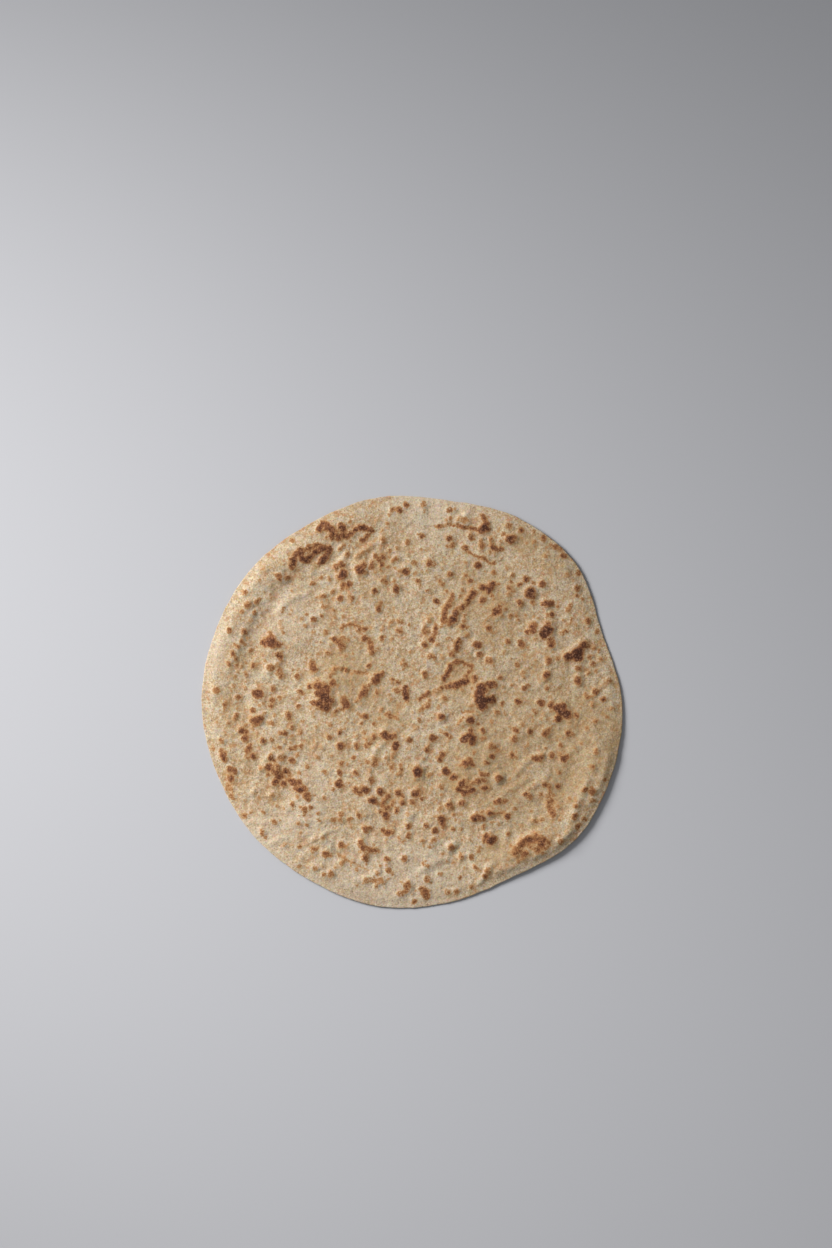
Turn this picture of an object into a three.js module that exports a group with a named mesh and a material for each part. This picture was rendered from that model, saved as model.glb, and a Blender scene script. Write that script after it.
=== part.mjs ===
// A round wholewheat flatbread, lying face up on the flat of its underside. It was rolled
// out thin and baked on a hot plate, so it is one piece of dough: the outline wavers where
// the rolling pin left it, steam raised low pillows on the face, and the drying rim lifted
// into a shallow lip. Millimetres, +Z up, the origin on the table under the middle.

import * as THREE from 'three';

// Driving dimensions.
const SPAN = 250; // width across, along X
const DOUGH = 2.2; // thickness of the baked dough
const RIM_DOUGH = 1.7; // thickness at the rim, where the pin thinned it
const THINNING_STARTS = 0.86; // share of the way out where the dough begins to thin

// Distance of the edge from the middle, every 20 degrees anticlockwise from +X.
const EDGE_REACH = [
  124.9, 120.4, 127.4, 126.4, 121.9, 123.4, 122.4, 124.2, 124.3,
  125.1, 123.5, 123.2, 121.9, 122.9, 121.1, 119.8, 126.8, 126.2,
];

// The lip: a low roll just inside the edge. Each lift is [middle in degrees, half width in
// degrees, height]. Between the lifts the bread touches the table right out to the edge.
const LIP_MIDDLE = 0.94; // share of the way out
const LIP_HALF_WIDTH = 0.14;
const LIP_LIFTS = [
  [142, 62, 2.4],
  [-34, 48, 2.6],
  [52, 34, 1.6],
  [-118, 32, 1.2],
];

// Pillows that steam raised on the face: [x, y, radius, height].
const PILLOWS = [
  [-74, 42, 26, 0.9],
  [-30, 70, 22, 0.8],
  [14, 84, 18, 0.7],
  [56, 62, 20, 0.8],
  [22, 40, 22, 0.9],
  [-46, 8, 24, 0.8],
  [42, 8, 17, 0.7],
  [84, 22, 20, 0.7],
  [-84, -22, 18, 0.7],
  [-8, -24, 24, 0.9],
  [38, -40, 20, 0.8],
  [-58, -62, 24, 0.8],
  [4, -86, 24, 0.8],
  [78, -44, 20, 0.8],
];

// How finely the faces are divided. Ring k of a face has 6k corners.
const FACE_RINGS = 22;
const EDGE_CORNERS = 6 * FACE_RINGS;
const EDGE_STEPS = 4; // flats round the half circle of the edge

/** Height of a soft bump that is 1 in the middle and dies away, level, at distance 1. */
function softBump(distance) {
  return Math.abs(distance) < 1 ? (1 - distance * distance) ** 2 : 0;
}

/** The edge seen from above: a closed smooth curve, SPAN wide, with the origin in the middle. */
function makeEdgeCurve() {
  const corners = EDGE_REACH.map((reach, i) => {
    const angle = (2 * Math.PI * i) / EDGE_REACH.length;
    return new THREE.Vector3(reach * Math.cos(angle), reach * Math.sin(angle), 0);
  });
  const drawn = new THREE.CatmullRomCurve3(corners, true, 'catmullrom', 0.5);
  const box = new THREE.Box3().setFromPoints(drawn.getPoints(EDGE_CORNERS));
  const middle = box.getCenter(new THREE.Vector3());
  const scale = SPAN / (box.max.x - box.min.x);
  const placed = corners.map((corner) => corner.sub(middle).multiplyScalar(scale));
  return new THREE.CatmullRomCurve3(placed, true, 'catmullrom', 0.5);
}

/** How far the underside stands off the table. */
function lift(x, y, shareOut) {
  const across = softBump((shareOut - LIP_MIDDLE) / LIP_HALF_WIDTH);
  const angle = THREE.MathUtils.radToDeg(Math.atan2(y, x));
  let height = 0;
  for (const [middle, halfWidth, most] of LIP_LIFTS) {
    const away = ((((angle - middle + 180) % 360) + 360) % 360) - 180;
    height += most * softBump(away / halfWidth);
  }
  return height * across;
}

/** Thickness of the dough, with the pillows that stand on its face. */
function thickness(x, y, shareOut) {
  let dough = THREE.MathUtils.lerp(
    DOUGH, RIM_DOUGH, THREE.MathUtils.smoothstep(shareOut, THINNING_STARTS, 1));
  for (const [px, py, radius, height] of PILLOWS) {
    dough += height * softBump(Math.hypot(x - px, y - py) / radius);
  }
  return dough;
}

/** One ring of corners: shareOut of the way to the edge, grown outward by reach. */
function ringOfPoints(edge, count, shareOut, reach, heightAt) {
  const ring = [];
  for (let i = 0; i < count; i++) {
    const point = edge.getPoint(i / count).multiplyScalar(shareOut);
    point.setLength(point.length() + reach);
    point.z = heightAt(point.x, point.y, shareOut);
    ring.push(point);
  }
  return ring;
}

/** Indices that join ring k of a face to ring k - 1, sector by sector. */
function faceBand(k) {
  const ringStart = (ring) => (ring === 0 ? 0 : 1 + 3 * ring * (ring - 1));
  const outer = (i) => ringStart(k) + (i % (6 * k));
  const inner = (i) => (k === 1 ? 0 : ringStart(k - 1) + (i % (6 * (k - 1))));
  const triangles = [];
  for (let sector = 0; sector < 6; sector++) {
    for (let i = 0; i < k; i++) {
      const out = sector * k + i;
      const into = sector * (k - 1) + i;
      triangles.push([outer(out), outer(out + 1), inner(into)]);
      if (i < k - 1) triangles.push([inner(into), outer(out + 1), inner(into + 1)]);
    }
  }
  return triangles;
}

/** The whole bread: the face, the underside, and the rounded edge that joins them. */
function makeBreadGeometry() {
  const edge = makeEdgeCurve();
  const points = [];
  const triangles = [];
  const inset = -RIM_DOUGH / 2; // the flats stop where the edge begins to round
  const topHeight = (x, y, share) => lift(x, y, share) + thickness(x, y, share);

  const addFace = (heightAt, facesUp) => {
    const start = points.length;
    points.push(new THREE.Vector3(0, 0, heightAt(0, 0, 0)));
    for (let k = 1; k <= FACE_RINGS; k++) {
      const share = k / FACE_RINGS;
      points.push(...ringOfPoints(edge, 6 * k, share, inset * share, heightAt));
      for (const triangle of faceBand(k)) {
        const placed = triangle.map((corner) => start + corner);
        triangles.push(facesUp ? placed : placed.reverse());
      }
    }
    return points.length - EDGE_CORNERS; // where the outermost ring starts
  };

  let above = addFace(topHeight, true);
  const undersideRing = addFace(lift, false);
  for (let step = 1; step <= EDGE_STEPS; step++) {
    let below = undersideRing;
    if (step < EDGE_STEPS) {
      const turn = Math.PI * (0.5 - step / EDGE_STEPS);
      const reach = inset + (RIM_DOUGH / 2) * Math.cos(turn);
      const rise = (1 + Math.sin(turn)) / 2;
      const heightAt = (x, y, share) => lift(x, y, share) + rise * thickness(x, y, share);
      below = points.length;
      points.push(...ringOfPoints(edge, EDGE_CORNERS, 1, reach, heightAt));
    }
    for (let i = 0; i < EDGE_CORNERS; i++) {
      const next = (i + 1) % EDGE_CORNERS;
      triangles.push([above + i, below + i, above + next]);
      triangles.push([above + next, below + i, below + next]);
    }
    above = below;
  }

  const geometry = new THREE.BufferGeometry().setFromPoints(points);
  geometry.setIndex(triangles.flat());
  geometry.computeVertexNormals();
  return geometry;
}

const bakedDough = new THREE.MeshStandardMaterial({ color: 0xb4956f, roughness: 0.9, metalness: 0 });
const flatbread = new THREE.Mesh(makeBreadGeometry(), bakedDough);
flatbread.name = 'flatbread';

const part = new THREE.Group();
part.add(flatbread);

export default part;
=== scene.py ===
import bpy
import numpy as np
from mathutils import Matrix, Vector


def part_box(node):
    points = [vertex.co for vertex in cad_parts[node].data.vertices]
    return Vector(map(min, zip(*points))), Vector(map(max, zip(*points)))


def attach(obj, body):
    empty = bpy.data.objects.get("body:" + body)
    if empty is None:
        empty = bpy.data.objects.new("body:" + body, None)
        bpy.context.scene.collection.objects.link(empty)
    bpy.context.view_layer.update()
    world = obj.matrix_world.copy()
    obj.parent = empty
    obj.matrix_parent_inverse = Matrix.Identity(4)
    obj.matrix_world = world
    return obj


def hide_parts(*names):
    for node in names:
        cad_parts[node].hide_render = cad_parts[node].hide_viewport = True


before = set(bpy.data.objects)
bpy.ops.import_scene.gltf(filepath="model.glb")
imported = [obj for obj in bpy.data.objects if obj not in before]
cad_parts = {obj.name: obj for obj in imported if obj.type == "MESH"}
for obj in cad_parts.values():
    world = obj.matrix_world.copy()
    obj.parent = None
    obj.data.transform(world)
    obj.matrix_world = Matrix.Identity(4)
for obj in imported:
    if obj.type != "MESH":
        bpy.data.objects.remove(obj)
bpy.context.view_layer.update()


# ---- The studio -------------------------------------------------------------------------
# The bread lies on a plain pale table top. The camera looks straight down on its toasted
# face, from far enough off that the round stays round.

EYE_HEIGHT = 1.648
EYE_ASIDE = 0.0023  # the middle of the view, to the right of the bread's own middle
EYE_BEYOND = 0.0463  # and up the table from it
TABLE_HALF_WIDTH = 12.0


def seen_as(red, green, blue):
    """A colour given as it looks, 0 to 255, as the linear colour that Blender works in."""
    shares = [channel / 255 for channel in (red, green, blue)]
    linear = [s / 12.92 if s < 0.04045 else ((s + 0.055) / 1.055) ** 2.4 for s in shares]
    return (*linear, 1.0)


eye = bpy.data.objects.new("Camera", bpy.data.cameras.new("Camera"))
bpy.context.scene.collection.objects.link(eye)
eye.location = (EYE_ASIDE, EYE_BEYOND, EYE_HEIGHT)
eye.data.lens = 80
eye.data.sensor_width = 36
eye.data.clip_end = 60
bpy.context.scene.camera = eye
bpy.context.scene.view_settings.view_transform = "Standard"

table_mesh = bpy.data.meshes.new("table_top")
sides = ((-1, -1), (1, -1), (1, 1), (-1, 1))
table_corners = [(x * TABLE_HALF_WIDTH, y * TABLE_HALF_WIDTH, 0.0) for x, y in sides]
table_mesh.from_pydata(table_corners, [], [(0, 1, 2, 3)])
table_top = bpy.data.objects.new("table_top", table_mesh)
bpy.context.scene.collection.objects.link(table_top)
table_paint = bpy.data.materials.new("table_paint")
table_paint.use_nodes = True
paint = table_paint.node_tree.nodes["Principled BSDF"]
paint.inputs["Base Color"].default_value = seen_as(196, 197, 202)
paint.inputs["Roughness"].default_value = 0.85
paint.inputs["Specular IOR Level"].default_value = 0.2
table_mesh.materials.append(table_paint)

SOFTBOX_PLACE = Vector((-1.01, 0.55, 0.68))
SOFTBOX_SIDE = 0.6
SOFTBOX_WATTS = 4.35
SOFTBOX_AIM = Vector((0.02, -0.22, 0.0))
SOFTBOX_SPREAD = 1.15  # radians: louvres keep it off the table behind the bread
ROOM_LIGHT = 0.24

softbox = bpy.data.objects.new("Softbox", bpy.data.lights.new("Softbox", "AREA"))
bpy.context.scene.collection.objects.link(softbox)
softbox.data.size = SOFTBOX_SIDE
softbox.data.energy = SOFTBOX_WATTS
softbox.data.color = (1.0, 0.985, 0.965)
softbox.location = SOFTBOX_PLACE
softbox.data.spread = SOFTBOX_SPREAD
softbox.rotation_euler = (SOFTBOX_AIM - SOFTBOX_PLACE).to_track_quat("-Z", "Y").to_euler()

room = bpy.data.worlds.new("Room")
bpy.context.scene.world = room
room.use_nodes = True
room.node_tree.nodes["Background"].inputs["Color"].default_value = (0.97, 0.985, 1.0, 1.0)
room.node_tree.nodes["Background"].inputs["Strength"].default_value = ROOM_LIGHT


# ---- The round of dough -----------------------------------------------------------------
# One piece of wholewheat dough, rolled out thin on a floured board. Steam raised low
# pillows in it on the hot plate, and its rim dried first and lifted into a shallow lip.

MM = 0.001
DOUGH = 2.2 * MM
RIM_DOUGH = 1.7 * MM
THINNING_STARTS = 0.86  # share of the way out where the dough begins to thin

# Distance of the edge from the middle, every 20 degrees anticlockwise from +X. The frame's
# box sets its real size.
EDGE_REACH = [
    124.9, 120.4, 127.4, 126.4, 121.9, 123.4, 122.4, 124.2, 124.3,
    125.1, 123.5, 123.2, 121.9, 122.9, 121.1, 119.8, 126.8, 126.2,
]

# The lip, a low roll just inside the edge: [middle in degrees, half width in degrees, height].
LIP_MIDDLE = 0.94
LIP_HALF_WIDTH = 0.14
LIP_LIFTS = [[142, 62, 2.4], [-34, 48, 2.6], [52, 34, 1.6], [-118, 32, 1.2]]

# Pillows that steam raised: [x, y, radius, height].
PILLOWS = [
    [-74, 42, 26, 0.9], [-30, 70, 22, 0.8], [14, 84, 18, 0.7], [56, 62, 20, 0.8],
    [22, 40, 22, 0.9], [-46, 8, 24, 0.8], [42, 8, 17, 0.7], [84, 22, 20, 0.7],
    [-84, -22, 18, 0.7], [-8, -24, 24, 0.9], [38, -40, 20, 0.8], [-58, -62, 24, 0.8],
    [4, -86, 24, 0.8], [78, -44, 20, 0.8],
]

# Where the dough between the marks browned more, or stayed floury, with painted light mixed in: the
# entry at the left rim is a painted highlight, and the one at the right rim painted shade. [x, y, radius,
# how much].
TONES_AND_PAINTED_LIGHT = [
    # [112, -25, 40, 0.5] is painted shade: it darkens the right rim where the light falls off.
    [70, -5, 70, 0.3], [112, -25, 40, 0.5], [44, 62, 38, 0.35], [-38, 18, 34, 0.5], [42, -38, 40, 0.4],
    [26, 12, 22, 0.3], [-14, -10, 26, 0.35], [66, -70, 36, 0.3], [-90, -25, 22, 0.2], [88, 78, 26, 0.2],
    [-101, 27, 14, 0.5], [-17, 83, 10, 0.8], [67, 94, 11, 0.7], [3.3, -44, 9, 0.9], [92, -50, 17, 0.65],
    [50, -90, 16, 0.45], [31, -48, 15, 0.4], [-70, -90, 26, 0.25], [-80, -52, 20, 0.35],
    # [-118, 30, 38, -0.4] is a painted highlight: it makes the left rim paler.
    [-10, -118, 62, -0.6], [-80, -85, 48, -0.5], [-60, -48, 36, -0.25], [-118, 30, 38, -0.4],
    [-111, 9, 14, 0.35], [-76, 52, 36, -0.35], [12, 124, 46, -0.5], [70, -125, 40, -0.4],
]

FACE_RINGS = 150  # ring k of a face has 6k corners, so the skin's mesh is about 0.8 mm
UNDERSIDE_RINGS = FACE_RINGS // 2
EDGE_CORNERS = 6 * FACE_RINGS
EDGE_STEPS = 5  # flats round the half circle of the edge

FACE_MAP_RADIUS = 0.355  # the face's round on the UV map, whose side is 1
UNDERSIDE_MAP_RADIUS = 0.21
MAP_MARGIN = 1.01  # the middle of a round stands this many radii in from the map's sides


def soft_bump(distance):
    """1 in the middle, dying away level at distance 1."""
    return np.clip(1 - distance**2, 0, None) ** 2


def edge_points(corners, count):
    """Points along the closed smooth curve through the corners, evenly spaced in its parameter."""
    at = np.arange(count) / count * len(corners)
    start = at.astype(int)
    t = (at - start)[:, None]
    before, here, after, beyond = (corners[(start + step) % len(corners)] for step in (-1, 0, 1, 2))
    slope = after - before
    bend = 2 * before - 5 * here + 4 * after - beyond
    twist = 3 * here - before - 3 * after + beyond
    return 0.5 * (2 * here + slope * t + bend * t**2 + twist * t**3)


def fitted_corners():
    """The edge's corners in metres, centred and scaled to the width that the frame gives."""
    turns = 2 * np.pi * np.arange(len(EDGE_REACH)) / len(EDGE_REACH)
    corners = np.array(EDGE_REACH)[:, None] * np.stack([np.cos(turns), np.sin(turns)], axis=1)
    drawn = edge_points(corners, EDGE_CORNERS)
    low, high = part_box("flatbread")
    scale = (high.x - low.x) / np.ptp(drawn[:, 0])
    return (corners - (drawn.min(0) + drawn.max(0)) / 2) * scale


def lift(points, share_out):
    """How far the underside stands off the table."""
    across = soft_bump(np.minimum(np.abs(share_out - LIP_MIDDLE) / LIP_HALF_WIDTH, 1))
    angles = np.degrees(np.arctan2(points[:, 1], points[:, 0]))
    height = np.zeros(len(points))
    for middle, half_width, most in LIP_LIFTS:
        away = (angles - middle + 180) % 360 - 180
        height += most * MM * soft_bump(np.minimum(np.abs(away) / half_width, 1))
    return height * across


def thickness(points, share_out):
    """Thickness of the dough, with the pillows that stand on its face."""
    thinned = np.clip((share_out - THINNING_STARTS) / (1 - THINNING_STARTS), 0, 1)
    dough = DOUGH + (RIM_DOUGH - DOUGH) * thinned**2 * (3 - 2 * thinned) * np.ones(len(points))
    for x, y, radius, height in PILLOWS:
        away = np.hypot(points[:, 0] / MM - x, points[:, 1] / MM - y) / radius
        dough += height * MM * soft_bump(np.minimum(away, 1))
    return dough


def browning_and_painted_light(points):
    """How the dough took colour between the marks, painted light included: 0 floury or highlit, 0.5 plain,
    1 well browned or shaded.
    """
    tone = np.full(len(points), 0.5)
    for x, y, radius, most in TONES_AND_PAINTED_LIGHT:
        away = np.hypot(points[:, 0] / MM - x, points[:, 1] / MM - y) / radius
        tone += most * soft_bump(np.minimum(away, 1))
    return np.clip(tone, 0, 1)


def ring(corners, count, share_out, reach, rise):
    """One ring of the skin: rise is 0 on the underside and 1 on the face."""
    flat = edge_points(corners, count) * share_out
    far = np.linalg.norm(flat, axis=1, keepdims=True)
    flat = flat * (far + reach) / far
    up = lift(flat, share_out) + rise * thickness(flat, share_out)
    return np.column_stack([flat, up])


def face_band(start, k):
    """Triangles, facing up, between ring k of a face and ring k - 1, sector by sector."""
    outer = start + 1 + 3 * k * (k - 1)
    inner = start if k == 1 else start + 1 + 3 * (k - 1) * (k - 2)
    inner_count = max(6 * (k - 1), 1)
    sectors = np.arange(6)[:, None]
    steps = np.arange(k)
    out_here = outer + (sectors * k + steps)
    out_next = outer + (sectors * k + steps + 1) % (6 * k)
    in_here = inner + (sectors * (k - 1) + steps) % inner_count
    in_next = inner + (sectors * (k - 1) + steps + 1) % inner_count
    pointing_in = np.stack([out_here, out_next, in_here], axis=-1).reshape(-1, 3)
    pointing_out = np.stack([in_here, out_next, in_next], axis=-1)[:, :-1].reshape(-1, 3)
    return np.concatenate([pointing_in, pointing_out])


def roll_out_dough():
    """The skin of the whole bread as one closed mesh, with its UV map and, at every corner, how
    far out it is and how far it belongs to the face."""
    corners = fitted_corners()
    inset = -RIM_DOUGH / 2  # the flats stop where the edge begins to round
    rings, shares, sides, unrolled, triangles, under = [], [], [], [], [], []
    placed = 0

    def lay(points, share_out, side, further):
        nonlocal placed
        rings.append(points)
        shares.append(np.full(len(points), share_out))
        sides.append(np.full(len(points), side))
        unrolled.append(np.linalg.norm(points[:, :2], axis=1) + further)
        placed += len(points)
        return placed - len(points)

    def lay_face(ring_count, side):
        middle = np.zeros((1, 2))
        up = side * thickness(middle, 0)
        start = lay(np.column_stack([middle, up]), 0, side, 0)
        for k in range(1, ring_count + 1):
            share = k / ring_count
            last = lay(ring(corners, 6 * k, share, inset * share, side), share, side, 0)
            band = face_band(start, k)
            triangles.append(band if side else band[:, ::-1])
            under.append(np.full(len(band), side == 0))
        return last

    above = lay_face(FACE_RINGS, 1.0)
    along = np.arange(EDGE_CORNERS)
    following = (along + 1) % EDGE_CORNERS
    for step in range(1, EDGE_STEPS):
        turn = np.pi * (0.5 - step / EDGE_STEPS)
        reach = inset + RIM_DOUGH / 2 * np.cos(turn)
        rise = (1 + np.sin(turn)) / 2
        travelled = RIM_DOUGH / 2 * np.pi * step / EDGE_STEPS - (reach - inset)
        below = lay(ring(corners, EDGE_CORNERS, 1, reach, rise), 1, rise, travelled)
        triangles.append(np.column_stack([above + along, below + along, above + following]))
        triangles.append(np.column_stack([above + following, below + along, below + following]))
        under.append(np.zeros(2 * EDGE_CORNERS, bool))
        above = below
    below = lay_face(UNDERSIDE_RINGS, 0.0)
    half = np.arange(EDGE_CORNERS // 2)
    half_next = (half + 1) % len(half)
    even, odd, even_next = above + 2 * half, above + 2 * half + 1, above + 2 * half_next
    triangles.append(np.column_stack([even, below + half, odd]))
    triangles.append(np.column_stack([odd, below + half, below + half_next]))
    triangles.append(np.column_stack([odd, below + half_next, even_next]))
    under.append(np.ones(3 * len(half), bool))

    points, faces, under = np.concatenate(rings), np.concatenate(triangles), np.concatenate(under)
    mesh = bpy.data.meshes.new("round_flatbread")
    mesh.from_pydata(points.tolist(), [], faces.tolist())
    for name, values in (("share_out", shares), ("face_side", sides), ("tone_and_painted_light", [browning_and_painted_light(points)])):
        layer = mesh.attributes.new(name, "FLOAT", "POINT")
        layer.data.foreach_set("value", np.concatenate(values).astype(np.float32))

    unrolled = np.concatenate(unrolled)
    away = points[:, :2] / np.maximum(np.linalg.norm(points[:, :2], axis=1, keepdims=True), 1e-9)
    face_map = FACE_MAP_RADIUS * (MAP_MARGIN + away * unrolled[:, None] / unrolled.max())
    outermost = np.linalg.norm(points[:, :2], axis=1, keepdims=True) / unrolled.max()
    underside_map = 1 - UNDERSIDE_MAP_RADIUS * (MAP_MARGIN + away * outermost)
    corner = faces.ravel()
    uv = np.where(np.repeat(under, 3)[:, None], underside_map[corner], face_map[corner])
    mesh.uv_layers.new(name="OFBake").data.foreach_set("uv", uv.astype(np.float32).ravel())
    return mesh


# ---- The toasted marks ------------------------------------------------------------------
# Where a blister touched the plate it browned, and the highest ones charred. Each mark is
# (x, y, radius, char): millimetres from the middle, and char from 0, pale, to 1, black.

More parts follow.
